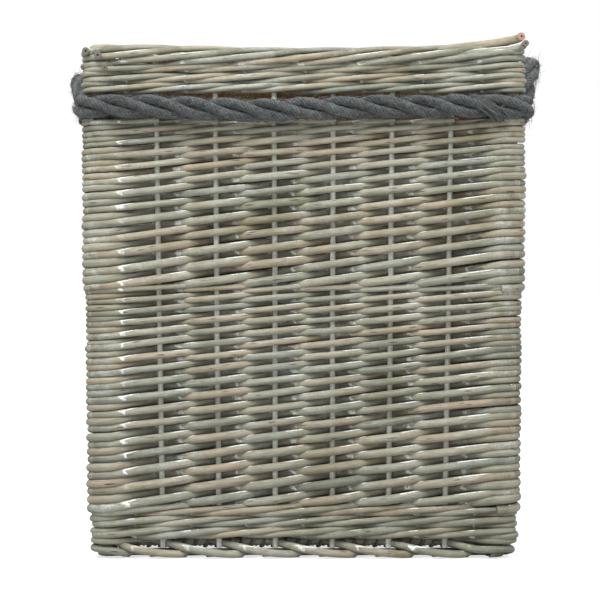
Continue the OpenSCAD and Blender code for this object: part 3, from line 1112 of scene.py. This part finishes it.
def handle_way(side):
    """The middle line of a handle, in the direction in which the rope goes round."""
    sign = 1 if side == "right" else -1
    lean = LEAN[side]
    crown_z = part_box(f"rope_handle_{side}")[1].z - HANDLE_D / 2
    rise = (crown_z - ROPE_Z) / math.cos(lean)
    turn = 2 * math.atan(rise / HANDLE_HALF)
    crown_r = HANDLE_HALF / math.sin(turn) - ROOT_R
    arch = [(ROOT_Y, 0.0), (ROOT_Y - 0.003, 0.0)]
    for a in np.linspace(0, turn, 8):
        arch.append((HANDLE_HALF - ROOT_R * math.sin(a), ROOT_R * (1 - math.cos(a))))
    for a in np.linspace(turn, 0, 16)[1:]:
        arch.append((crown_r * math.sin(a), rise - crown_r * (1 - math.cos(a))))
    arch += [(-y, h) for y, h in arch[-2::-1]]
    points = [
        (sign * (HANDLE_X + h * math.sin(lean)), -sign * y, ROPE_Z + h * math.cos(lean)) for y, h in arch
    ]
    print(f"the {side} handle rises {rise:.4f} m")
    return even_points(points, 0.004)


right_way, left_way = handle_way("right"), handle_way("left")
print("the right handle's crown is at", np.round(right_way[len(right_way) // 2], 3))

# %% [markdown]
# ## Three strands, one twist
#
# Each strand is a tube whose middle runs round the rope's own middle, one turn in each lay of
# 124 mm. Counting the turns along the whole loop keeps every strand unbroken where a fixed run
# meets a handle. Where the rope is pressed against the stakes its section is an oval, and in the
# handles it is round. A handle's outward direction is turned by its lean, so the same angle is
# added to its strands.


# %% Strands
LAY = 0.124


def strands(way, outward, section, travelled, extra, rng):
    """Three strands along a way. section is depth and height at each point, in metres."""
    count = len(way)
    step = np.linalg.norm(np.diff(way, axis=0), axis=1)
    length = travelled + np.concatenate([[0], np.cumsum(step)])
    ahead = np.gradient(way, axis=0)
    ahead /= np.linalg.norm(ahead, axis=1)[:, None]
    side = outward - (outward * ahead).sum(1)[:, None] * ahead
    side /= np.linalg.norm(side, axis=1)[:, None]
    up = np.cross(side, ahead)
    depth, height = section[:, 0], section[:, 1]
    strand_r = 0.2425 * (depth + height) / 2
    made = []
    for number in range(3):
        angle = extra - 2 * np.pi * length / LAY + number * 2 * np.pi / 3 + 0.5
        loose = 1 + 0.07 * smooth_noise(count, 5, rng)
        middle = (
            way
            + ((depth / 2 - strand_r) * loose * np.cos(angle))[:, None] * side
            + ((height / 2 - strand_r) * loose * np.sin(angle))[:, None] * up
        )
        thick = strand_r * (1 + 0.07 * smooth_noise(count, 3.5, rng))
        direction = np.cos(angle)[:, None] * side + np.sin(angle)[:, None] * up
        made.append(rod(middle, thick, direction, 0.2 + 0.3 * number, 0.0, travelled, 16))
    return made, (way, side, up, ahead, depth, height), length[-1]


def flat_outward(way):
    """Level directions that point away from the basket along a fixed run."""
    ahead = np.gradient(way, axis=0)
    out = np.stack([ahead[:, 1], -ahead[:, 0], 0 * ahead[:, 0]], -1)
    return out / np.linalg.norm(out, axis=1)[:, None]


def fixed_section(way):
    """Oval along the run, round where it meets a handle."""
    step = np.linalg.norm(np.diff(way, axis=0), axis=1)
    length = np.concatenate([[0], np.cumsum(step)])
    to_end = np.minimum(length, length[-1] - length)
    share = ease(np.clip(to_end / 0.03, 0, 1))
    depth = HANDLE_D + (ROPE_T - HANDLE_D) * share
    return np.stack([depth, HANDLE_D + (ROPE_H - HANDLE_D) * share], -1)


def leaning_outward(way, side):
    """The direction across a handle's plane, away from the basket."""
    sign = 1 if side == "right" else -1
    lean = LEAN[side]
    return np.tile([sign * math.cos(lean), 0.0, -math.sin(lean)], (len(way), 1))


rng = np.random.default_rng(71)
front_parts, front_core, reached = strands(
    front_way, flat_outward(front_way), fixed_section(front_way), 0.0, 0.0, rng
)
round_section = np.full((len(right_way), 2), HANDLE_D)
right_parts, right_core, reached = strands(
    right_way, leaning_outward(right_way, "right"), round_section, reached, LEAN["right"], rng
)
back_parts, back_core, reached = strands(
    back_way, flat_outward(back_way), fixed_section(back_way), reached, 0.0, rng
)
round_section = np.full((len(left_way), 2), HANDLE_D)
left_parts, left_core, reached = strands(
    left_way, leaning_outward(left_way, "left"), round_section, reached, LEAN["left"], rng
)
print("the whole loop of rope is", round(reached, 3), "m long")

# %% [markdown]
# ## Fuzz
#
# Old rope is hairy. Every few millimetres a fibre has worked loose and curls away from its
# strand. Each one here is a tube with three sides, so thousands of them cost little. They are
# real geometry, because at the rope's outline a bump could not show them.


# %% Loose fibres
def fuzz(core, number, rng, reach=(0.005, 0.015), lift=0.32, clear=0.0):
    """Fibres that stand away from a rope. clear keeps them off its two ends."""
    way, side, up, ahead, depth, height = core
    fibres = []
    for _ in range(number):
        at = rng.integers(1 + int(clear / 0.004), len(way) - 1 - int(clear / 0.004))
        angle = rng.uniform(0, 2 * np.pi)
        away = np.cos(angle) * side[at] + np.sin(angle) * up[at]
        root = way[at] + rng.uniform(-0.002, 0.002) * ahead[at]
        root = root + 0.46 * (
            depth[at] * np.cos(angle) * side[at] + height[at] * np.sin(angle) * up[at]
        )
        length = rng.uniform(*reach) * rng.uniform(0.5, 1)
        forward = rng.choice([-1, 1]) * ahead[at] * rng.uniform(0.5, 1.2)
        across = np.cross(ahead[at], away) * rng.normal(0, 0.5)
        rising = away * lift * rng.uniform(0.1, 1.0)
        curl = away * rng.normal(-0.30, 0.28) + np.array([0, 0, rng.normal(-0.1, 0.3)])
        share = np.linspace(0, 1, 5)[:, None]
        path = root + length * (share * (forward + across + rising) + share**2 * curl)
        thick = rng.uniform(0.00012, 0.00028) * np.linspace(1, 0.5, 5)
        fibres.append(rod(path, thick, away, rng.uniform(0, 1), 0.0, 0.0, 3, cut=0.0))
    return fibres


rng = np.random.default_rng(72)
rope_front = rods_object("rope_front_strands", front_parts)
rope_back = rods_object("rope_back_strands", back_parts)
fuzz_front = rods_object("rope_front_fuzz", fuzz(front_core, 4500, rng))
fuzz_back = rods_object("rope_back_fuzz", fuzz(back_core, 4500, rng))

# %% [markdown]
# Where the front run was spliced, the end of one strand lies across the rope near the right
# corner post, cut off and frayed. Its yarns start inside the rope, slant down to the right and
# fan out at the cut, each with a little wave of its own.

# %% The frayed end
rng = np.random.default_rng(73)
tuft = []
front_y = -ROPE_HALF_W - wrap_r - ROPE_T / 2
for _ in range(150):
    fan = rng.normal(0, 1, 2) * 0.0023
    start = np.array([0.1830 + fan[0], front_y + 0.0050 + abs(fan[1]) * 0.5, 0.4990 + fan[1]])
    reach = rng.uniform(0.86, 1.05)
    middle = start + np.array([0.0150, -0.0075, -0.0085]) * reach + rng.normal(0, 0.0007, 3)
    end = start + np.array([0.0300, -0.0055, -0.0205]) * reach
    end = end + np.array([rng.normal(0, 0.0016), rng.normal(0, 0.0018), rng.normal(0, 0.0022)])
    share = np.linspace(0, 1, 9)[:, None]
    path = (1 - share) ** 2 * start + 2 * share * (1 - share) * middle + share**2 * end
    path = path + 0.0004 * np.sin(share * rng.uniform(8, 16) + rng.uniform(0, 6)) * rng.normal(0, 1, 3)
    tuft.append(
        rod(path, rng.uniform(0.0004, 0.0008), (0, -1, 0.1), rng.uniform(0, 0.88), 0.0, 0.0, 5, cut=0.0)
    )
rope_tuft = rods_object("rope_frayed_end", tuft)

# %% [markdown]
# ## Handles in two halves
#
# A handle swings, but its rope doesn't end at the joint: it runs on into the wall. So each handle
# is made as a front half and a back half, each with a fuzz piece of its own. A point 22 mm in from
# each root is worked out, but nothing uses it.


# %% Handle halves
def half_rods(parts, core, first_half, rng):
    """Cuts the strands of a handle at its crown, and gives this half its fuzz."""
    count = len(core[0])
    cut = count // 2
    span = slice(0, cut + 1) if first_half else slice(cut, count)
    halves = []
    for one in parts:
        ring = one["ring"][span]
        ends = np.stack([ring[0].mean(0), ring[-1].mean(0)])
        halves.append({
            "ring": ring, "grain": one["grain"][span], "marks": one["marks"][span],
            "tone": one["tone"], "ends": ends, "cut": 0.0,
        })
    return halves, fuzz(tuple(value[span] for value in core), 900, rng, clear=0.006)


rng = np.random.default_rng(74)
handle_pieces = []
for side, parts, core in (("right", right_parts, right_core), ("left", left_parts, left_core)):
    for first_half in (True, False):
        root = core[0][0] if first_half else core[0][-1]
        label = "front" if root[1] < 0 else "back"
        ropes, hairs = half_rods(parts, core, first_half, rng)
        strand_piece = rods_object(f"handle_{side}_{label}", ropes)
        fuzz_piece = rods_object(f"handle_{side}_{label}_fuzz", hairs)
        inward = math.copysign(0.022, -root[1])
        start = tuple(float(v) for v in root)
        end = (start[0], start[1] + inward, start[2])
        for piece in (strand_piece, fuzz_piece):
            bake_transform(piece)
            handle_pieces.append(piece)
        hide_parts(f"rope_handle_{side}")

# %% [markdown]
# ### Rope finish
#
# Each strand is itself a bundle of yarns, twisted the other way, so fine slanting ridges run
# round it. The angle round the strand and the length along it are both in the grain attribute,
# and a sine of the two together draws the ridges. The colour is dark slate. The crests of the
# ridges are painted paler, as a painted highlight, and the grooves between them darker, as
# painted shade.


# %% Material: rope
def rope_material(name, dark, middle, pale, yarns, yarn_pitch, bump_depth):
    """Twisted fibre. yarns ridges go round a strand, and each turns once in yarn_pitch metres."""
    material, tree, shader = new_material(name)
    grain = node(tree, "ShaderNodeAttribute", (-1500, 200), attribute_name="grain")
    tone = node(tree, "ShaderNodeAttribute", (-1500, 0), attribute_name="tone")
    parts = node(tree, "ShaderNodeSeparateXYZ", (-1300, 300))
    link(tree, grain.outputs["Vector"], parts.inputs[0])
    angle = maths(tree, "ARCTAN2", parts.outputs[2], parts.outputs[1], (-1100, 300))
    angle = maths(tree, "MULTIPLY", angle, float(yarns), (-950, 300))
    turn = maths(tree, "MULTIPLY", parts.outputs[0], 2 * math.pi * yarns / yarn_pitch, (-1100, 150))
    ridge = maths(tree, "SINE", maths(tree, "ADD", angle, turn, (-800, 250)), 0.0, (-650, 250))
    ridge = spread(tree, ridge, -1.0, 0.8, (-500, 250))
    fibre = use_group(
        tree, fibre_streaks, (-1100, -100),
        Grain=grain.outputs["Vector"], Tone=tone.outputs["Fac"], Along=90.0, Around=5.0,
    )
    soft = node(tree, "ShaderNodeTexNoise", (-900, -400), Scale=210.0, Detail=5.0, Roughness=0.7)
    where = node(tree, "ShaderNodeTexCoord", (-1100, -400))
    link(tree, where.outputs["Object"], soft.inputs["Vector"])
    matted = spread(tree, soft.outputs["Fac"], 0.38, 0.62, (-700, -400))
    ridge = mix_floats(tree, 0.62, ridge, matted, (-400, 250))
    # Painted highlight and shade: the yarn crests take the paler colour and the grooves between them the
    # dark one
    lit = maths(
        tree, "MULTIPLY", ridge, spread(tree, fibre.outputs["Streaks"], 0, 1, (-700, -100), 0.5, 1.0)
    )
    colour = mix_colours(tree, lit, dark, middle, (-300, 200))
    flecks = spread(tree, fibre.outputs["Height"], 0.60, 0.74, (-500, -250))
    colour = mix_colours(tree, maths(tree, "MULTIPLY", flecks, 0.75), colour, pale, (-100, 200))
    colour = mix_colours(
        tree, spread(tree, tone.outputs["Fac"], 0.82, 0.97, (-300, 0)), colour, pale, (50, 200)
    )
    dusty = use_group(
        tree, clouded_dust, (250, 200), Colour=colour, Dust=srgb(190, 190, 194), Amount=0.7
    )
    link(tree, dusty.outputs["Colour"], shader.inputs["Base Color"])
    height = maths(tree, "ADD", ridge, fibre.outputs["Height"], (200, -200))
    bump = node(tree, "ShaderNodeBump", (500, -200), Strength=0.9, Distance=bump_depth)
    link(tree, height, bump.inputs["Height"])
    link(tree, bump.outputs["Normal"], shader.inputs["Normal"])
    shader.inputs["Roughness"].default_value = 0.9
    shader.inputs["Specular IOR Level"].default_value = 0.2
    shader.inputs["Sheen Weight"].default_value = 0.25
    shader.inputs["Sheen Roughness"].default_value = 0.6
    print("material", name, "has", len(tree.nodes), "nodes")
    return material


GREY_ROPE = rope_material(
    "grey_rope", srgb(30, 34, 35), srgb(104, 111, 111), srgb(184, 186, 176), 6, 0.034, 0.0016
)
for piece in (rope_front, rope_back, fuzz_front, fuzz_back, rope_tuft):
    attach(piece, "basket")
for piece in [rope_front, rope_back, fuzz_front, fuzz_back, rope_tuft] + handle_pieces:
    piece.data.materials.append(GREY_ROPE)
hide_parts("rope_front")
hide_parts("rope_back")

# %% [markdown]
# ## The hessian bag
#
# A coarse jute bag lines the basket and keeps bark and splinters in. It is cloth, so it isn't
# flat: it is sewn to the wale under the rim at every half bay, sags inwards between the stitches,
# and wrinkles a little all the way down. One strip of cloth makes the four sides, with its seam
# at a corner, and a square makes the floor. The mesh is a grid round the walls, moved inwards by
# a few long waves. Real thickness comes from the Solidify modifier, which is applied at once.


# %% Cloth helpers
def waves(u, v, number, rng, longest):
    """A few long waves over a sheet, about -1 to 1. u is in turns round the bag."""
    total = 0
    for _ in range(number):
        turns = rng.integers(1, 26)
        rise = rng.uniform(0.3, 1.0) / longest
        total = total + np.sin(2 * np.pi * (turns * u + rise * v) + rng.uniform(0, 6.28)) / number**0.5
    return total


def cloth_object(name, points, cloth, closed, thickness):
    """A grid of points as a cloth. cloth is each point's place in the flat cloth, in metres."""
    rows, columns = points.shape[:2]
    wrap = columns if closed else columns - 1
    faces = []
    for row in range(rows - 1):
        for column in range(wrap):
            following = (column + 1) % columns
            faces.append((
                row * columns + column, row * columns + following,
                (row + 1) * columns + following, (row + 1) * columns + column,
            ))
    mesh = bpy.data.meshes.new(name)
    mesh.from_pydata(points.reshape(-1, 3).tolist(), [], faces)
    layer = mesh.attributes.new("cloth", "FLOAT_VECTOR", "POINT")
    layer.data.foreach_set("vector", np.asarray(cloth, "f").ravel())
    mesh.polygons.foreach_set("use_smooth", np.ones(len(mesh.polygons), bool))
    piece = bpy.data.objects.new(name, mesh)
    bpy.context.scene.collection.objects.link(piece)
    thick = piece.modifiers.new("thickness", "SOLIDIFY")
    thick.thickness = thickness
    thick.offset = 0.0
    bpy.context.view_layer.objects.active = piece
    with bpy.context.temp_override(object=piece, active_object=piece, selected_objects=[piece]):
        bpy.ops.object.modifier_apply(modifier=thick.name)
    print(f"{name}: {len(piece.data.polygons)} faces")
    return piece


# %% The bag's sides
rng = np.random.default_rng(81)
low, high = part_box("lining_sides")
CLOTH_T = 0.0011
BAG_HALF = high.x - 0.0010
columns, rows = BAYS * 9, 90
bays = np.arange(columns) * BAYS / columns
z = low.z + 0.0022 + (high.z - low.z - 0.0022) * np.linspace(0, 1, rows)
bays_grid, z_grid = np.meshgrid(bays, z)
share = (z_grid - low.z) / (high.z - low.z)
wrinkles = waves(bays_grid / BAYS, z_grid, 9, rng, 0.5)
sewn = np.exp(-(((high.z - 0.010 - z_grid) / 0.030) ** 2))
between = (1 - np.cos(2 * np.pi * 2 * bays_grid)) / 2
inward = 0.0016 + 0.0013 * wrinkles + 0.0022 * sewn * between
inward += 0.0035 * np.sin(np.pi * share) ** 2 * (1 - near_corner(bays_grid, 3.5))
inward = np.clip(inward, 0, 0.012) * (1 - 0.7 * near_corner(bays_grid, 0.8))
bag_points, _ = on_wall(bays_grid, z_grid, -inward, half=BAG_HALF, corner_r=0.020)
bag_points[..., 2] -= 0.0022 * between * (share > 0.98) * share
around = bays_grid / BAYS * 8 * BAG_HALF
flat_place = np.stack([around, z_grid, 0 * z_grid], -1)
bag_sides = cloth_object("hessian_sides", bag_points, flat_place, True, CLOTH_T)

# %% [markdown]
# The floor lies on the base weaving. It is a square with softly rounded corners, and it follows
# the sticks below it by a fraction of a millimetre.

# %% The bag's floor
rng = np.random.default_rng(82)
side_count = 90
across = np.linspace(-1, 1, side_count)
x_grid, y_grid = np.meshgrid(across, across)
FLOOR_HALF = BAG_HALF - 0.0012
floor_z = stick_z + over + SKEIN_R + CLOTH_T / 2 + 0.0005
ripple = 0.0005 * np.cos(2 * np.pi * y_grid * FLOOR_HALF / 0.0615)
ripple = ripple + 0.0007 * waves((x_grid + 1) / 2, (y_grid + 1) / 2, 7, rng, 1.0)
ripple = np.maximum(ripple, -0.0003)
squeeze = 1 - 0.03 * (np.abs(x_grid) * np.abs(y_grid)) ** 8
floor_points = np.stack(
    [x_grid * FLOOR_HALF * squeeze, y_grid * FLOOR_HALF * squeeze, floor_z + 0.0006 + ripple], -1
)
flat_place = np.stack([x_grid * FLOOR_HALF, y_grid * FLOOR_HALF, 0 * x_grid], -1)
bag_floor = cloth_object("hessian_floor", floor_points, flat_place, False, CLOTH_T)

# %% [markdown]
# ### Seams, hem and stitches
#
# The cloth's top edge is turned down into a hem, a fat double band. Waxed twine goes through it
# and round the wale behind, once every half bay. The seam at one corner and the seam round the
# floor are pinched ridges.

# %% Hem, seams and stitches
rng = np.random.default_rng(83)
count = columns
hem_bays = np.linspace(0, BAYS, count + 1)
hem_between = (1 - np.cos(2 * np.pi * 2 * hem_bays)) / 2
hem_z = high.z - 0.0065 - 0.0022 * hem_between + 0.0006 * smooth_noise(count + 1, 5, rng)
hem_path, hem_out = on_wall(
    hem_bays, hem_z, -0.0026 - 0.0022 * hem_between, half=BAG_HALF, corner_r=0.020
)
hem = rods_object("hessian_hem", [rod(hem_path, 0.0066, hem_out, 0.5, 0.0, 0.0, 14, 0.28, cut=0.0)])
seam_z = floor_z + 0.0022
seam_path, seam_out = on_wall(hem_bays, seam_z, -0.0022, half=BAG_HALF, corner_r=0.020)
seams = [rod(seam_path, 0.0017, seam_out, 0.4, 0.0, 0.0, 8, cut=0.0)]
rise = np.linspace(floor_z + 0.002, high.z - 0.012, 80)
seam_path, seam_out = on_wall(
    np.full(80, 14.0), rise, -0.0012 + 0.0005 * smooth_noise(80, 6, rng), half=BAG_HALF, corner_r=0.020
)
seams.append(rod(seam_path, 0.0021, seam_out, 0.6, 0.0, 0.0, 8, cut=0.0))
bag_seams = rods_object("hessian_seams", seams)
stitches = []
for number in range(BAYS * 2):
    bay = number / 2
    lean = rng.normal(0, 0.02)
    way = [
        (0.0, high.z - 0.0125, 0.0030), (0.2, high.z - 0.0135, -0.0020), (0.4, high.z - 0.0100, -0.0052),
        (0.6, high.z - 0.0040, -0.0052), (0.8, high.z - 0.0010, -0.0015), (1.0, high.z - 0.0030, 0.0030),
    ]
    way = smooth_way(way, 14)
    path, normal = on_wall(
        bay + lean * (way[:, 0] - 0.5) * 2, way[:, 1], way[:, 2], half=BAG_HALF, corner_r=0.020
    )
    stitches.append(rod(path, 0.0008, normal, rng.uniform(0, 0.6), 0.0, rng.uniform(0, 1), 8, cut=0.0))
bag_stitches = rods_object("hessian_stitches", stitches)

# %% [markdown]
# ### Hessian finish
#
# Hessian is a plain weave of thick uneven jute yarns: every yarn goes over one and under the
# next. The place in the flat cloth is an attribute, so the pattern doesn't stretch or slide. The
# group divides it by the yarn's width. One sine per direction makes the yarns round, and the
# sign of their product says which direction is on top in each small square.

# %% Group: plain weave
plain_weave, given, result = new_group(
    "plain_weave",
    [("Place", VECTOR), ("Yarn Width", FLOAT)],
    [("Height", FLOAT), ("Yarn Tone", FLOAT), ("Gap", FLOAT)],
)
wander = node(plain_weave, "ShaderNodeTexNoise", (-900, 300), Scale=35.0, Detail=2.0)
link(plain_weave, given.outputs["Place"], wander.inputs["Vector"])
moved = node(plain_weave, "ShaderNodeVectorMath", (-700, 200), operation="MULTIPLY_ADD")
link(plain_weave, wander.outputs["Color"], moved.inputs[0])
moved.inputs[1].default_value = (0.004, 0.004, 0.0)
link(plain_weave, given.outputs["Place"], moved.inputs[2])
place = node(plain_weave, "ShaderNodeSeparateXYZ", (-500, 200))
link(plain_weave, moved.outputs[0], place.inputs[0])
ridges, tones = [], []
for axis in (0, 1):
    yarn = maths(
        plain_weave, "DIVIDE", place.outputs[axis],
        given.outputs["Yarn Width"], (-300, 200 - 300 * axis)
    )
    phase = maths(plain_weave, "MULTIPLY", yarn, math.pi, (-150, 200 - 300 * axis))
    ridges.append(maths(plain_weave, "SINE", phase, 0.0, (0, 200 - 300 * axis)))
    number = maths(plain_weave, "FLOOR", yarn, 0.0, (-150, 100 - 300 * axis))
    white = node(plain_weave, "ShaderNodeTexWhiteNoise", (0, 100 - 300 * axis), noise_dimensions="1D")
    link(plain_weave, number, white.inputs["W"])
    tones.append(white.outputs["Value"])
side = maths(plain_weave, "MULTIPLY", ridges[0], ridges[1], (200, 0))
on_top = spread(plain_weave, side, -0.15, 0.15, (350, 0))
round_a = maths(plain_weave, "ABSOLUTE", ridges[0], 0.0, (200, 250))
round_b = maths(plain_weave, "ABSOLUTE", ridges[1], 0.0, (200, -250))
height = node(plain_weave, "ShaderNodeMix", (500, 100), data_type="FLOAT")
tone_mix = node(plain_weave, "ShaderNodeMix", (500, -100), data_type="FLOAT")
for mixed, pair in ((height, (round_b, round_a)), (tone_mix, (tones[1], tones[0]))):
    link(plain_weave, on_top, mixed.inputs[0])
    link(plain_weave, pair[0], mixed.inputs[2])
    link(plain_weave, pair[1], mixed.inputs[3])
link(plain_weave, height.outputs[0], result.inputs["Height"])
link(plain_weave, tone_mix.outputs[0], result.inputs["Yarn Tone"])
deep = maths(plain_weave, "MAXIMUM", round_a, round_b, (500, -300))
link(plain_weave, spread(plain_weave, deep, 0.45, 0.1, (650, -300)), result.inputs["Gap"])
print("group", plain_weave.name, "has", len(plain_weave.nodes), "nodes")


# %% Material: hessian
def hessian_material(name, attribute, swap):
    """Jute cloth. attribute holds the place in the flat cloth."""
    material, tree, shader = new_material(name)
    flat = node(tree, "ShaderNodeAttribute", (-1300, 200), attribute_name=attribute)
    place = flat.outputs["Vector"]
    if swap:
        scaled = node(tree, "ShaderNodeVectorMath", (-1100, 300), operation="MULTIPLY")
        link(tree, place, scaled.inputs[0])
        scaled.inputs[1].default_value = swap
        place = scaled.outputs[0]
    weave = use_group(tree, plain_weave, (-900, 200), Place=place, Yarn_Width=0.0019)
    slubs = node(tree, "ShaderNodeTexNoise", (-900, -100), Scale=130.0, Detail=4.0)
    link(tree, place, slubs.inputs["Vector"])
    tone = maths(tree, "ADD", weave.outputs["Yarn Tone"], slubs.outputs["Fac"], (-700, 100))
    colour = mix_colours(
        tree, spread(tree, tone, 0.4, 1.5, (-550, 100)), srgb(128, 96, 60), srgb(186, 152, 106), (-400, 200)
    )
    # Painted shade: the low parts of the yarns are darkened, and the open holes between yarns are painted
    # nearly black
    shaded = mix_colours(
        tree, spread(tree, weave.outputs["Height"], 0.9, 0.1, (-550, -100)), colour,
        srgb(84, 60, 36), (-200, 200)
    )
    hole_shade = mix_colours(tree, weave.outputs["Gap"], shaded, srgb(38, 28, 18), (0, 200))
    dusty = use_group(
        tree, clouded_dust, (250, 200), Colour=hole_shade, Dust=srgb(176, 164, 148), Amount=0.6
    )
    link(tree, dusty.outputs["Colour"], shader.inputs["Base Color"])
    fluff = maths(tree, "ADD", weave.outputs["Height"], slubs.outputs["Fac"], (200, -200))
    bump = node(tree, "ShaderNodeBump", (500, -200), Strength=0.7, Distance=0.0008)
    link(tree, fluff, bump.inputs["Height"])
    link(tree, bump.outputs["Normal"], shader.inputs["Normal"])
    shader.inputs["Roughness"].default_value = 0.95
    shader.inputs["Specular IOR Level"].default_value = 0.15
    shader.inputs["Sheen Weight"].default_value = 0.15
    print("material", name, "has", len(tree.nodes), "nodes")
    return material


HESSIAN = hessian_material("hessian", "cloth", None)
HEM_HESSIAN = hessian_material("hessian_edges", "grain", (1.0, 0.006, 0.006))
TWINE = rope_material(
    "twine", srgb(92, 70, 46), srgb(168, 138, 98), srgb(196, 176, 142), 3, 0.006, 0.0003
)
for piece, finish in (
    (bag_sides, HESSIAN), (bag_floor, HESSIAN), (hem, HEM_HESSIAN), (bag_seams, HEM_HESSIAN),
    (bag_stitches, TWINE),
):
    piece.data.materials.append(finish)
    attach(piece, "basket")
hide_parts("lining_sides")
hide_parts("lining_floor")

# %% [markdown]
# ## Floor and light
#
# A willow wall is all small shadows, so the light has to be soft, or the gaps turn black. A white
# sky and three large lamps give that: one high at the left, a weaker one at the right and one
# above the back that lifts the inside of the rim. The floor is nearly white and very wide. Seen
# directly it glows a little, so that it meets the sky without a line, but it throws less of that
# light on the basket, or the foot would look lit from below.

# %% Stage
floor_mesh = bpy.data.meshes.new("studio_floor")
wide = 60.0
floor_mesh.from_pydata(
    [(-wide, -wide, 0), (wide, -wide, 0), (wide, wide, 0), (-wide, wide, 0)], [], [(0, 1, 2, 3)]
)
studio_floor = bpy.data.objects.new("studio_floor", floor_mesh)
bpy.context.scene.collection.objects.link(studio_floor)
paper, tree, shader = new_material("pale_paper")
shader.inputs["Base Color"].default_value = (0.62, 0.62, 0.62, 1)
shader.inputs["Roughness"].default_value = 0.9
shader.inputs["Specular IOR Level"].default_value = 0.1
shader.inputs["Emission Color"].default_value = (1, 1, 1, 1)
seen = node(tree, "ShaderNodeLightPath", (500, -300))
glow = spread(tree, seen.outputs["Is Camera Ray"], 0.0, 1.0, (700, -300), 0.0, 0.70)
link(tree, glow, shader.inputs["Emission Strength"])
floor_mesh.materials.append(paper)

sky = bpy.data.worlds.new("white_sky")
bpy.context.scene.world = sky
sky.use_nodes = True
backdrop = sky.node_tree.nodes["Background"]
backdrop.inputs["Color"].default_value = (1, 1, 1, 1)
seen = node(sky.node_tree, "ShaderNodeLightPath", (-500, 200))
strength = spread(sky.node_tree, seen.outputs["Is Camera Ray"], 0.0, 1.0, (-250, 0), 0.70, 1.0)
link(sky.node_tree, strength, backdrop.inputs["Strength"])


def soft_lamp(name, place, target, size, power):
    """A square lamp that faces a point."""
    lamp = bpy.data.lights.new(name, "AREA")
    lamp.shape = "SQUARE"
    lamp.size = size
    lamp.energy = power
    stand = bpy.data.objects.new(name, lamp)
    bpy.context.scene.collection.objects.link(stand)
    stand.location = place
    away = np.array(place) - np.array(target)
    stand.rotation_euler = (
        math.atan2(math.hypot(away[0], away[1]), away[2]), 0, math.atan2(away[0], -away[1])
    )
    return stand


soft_lamp("key_lamp", (-0.5, -1.3, 2.1), (0, 0, 0.45), 1.5, 57)
soft_lamp("fill_lamp", (1.9, -1.7, 2.2), (0, 0, 0.4), 1.8, 24)
soft_lamp("back_lamp", (0.4, 2.2, 2.2), (0, 0, 0.3), 1.6, 30)
bpy.context.scene.view_settings.view_transform = "Standard"
print("three lamps and a white sky")
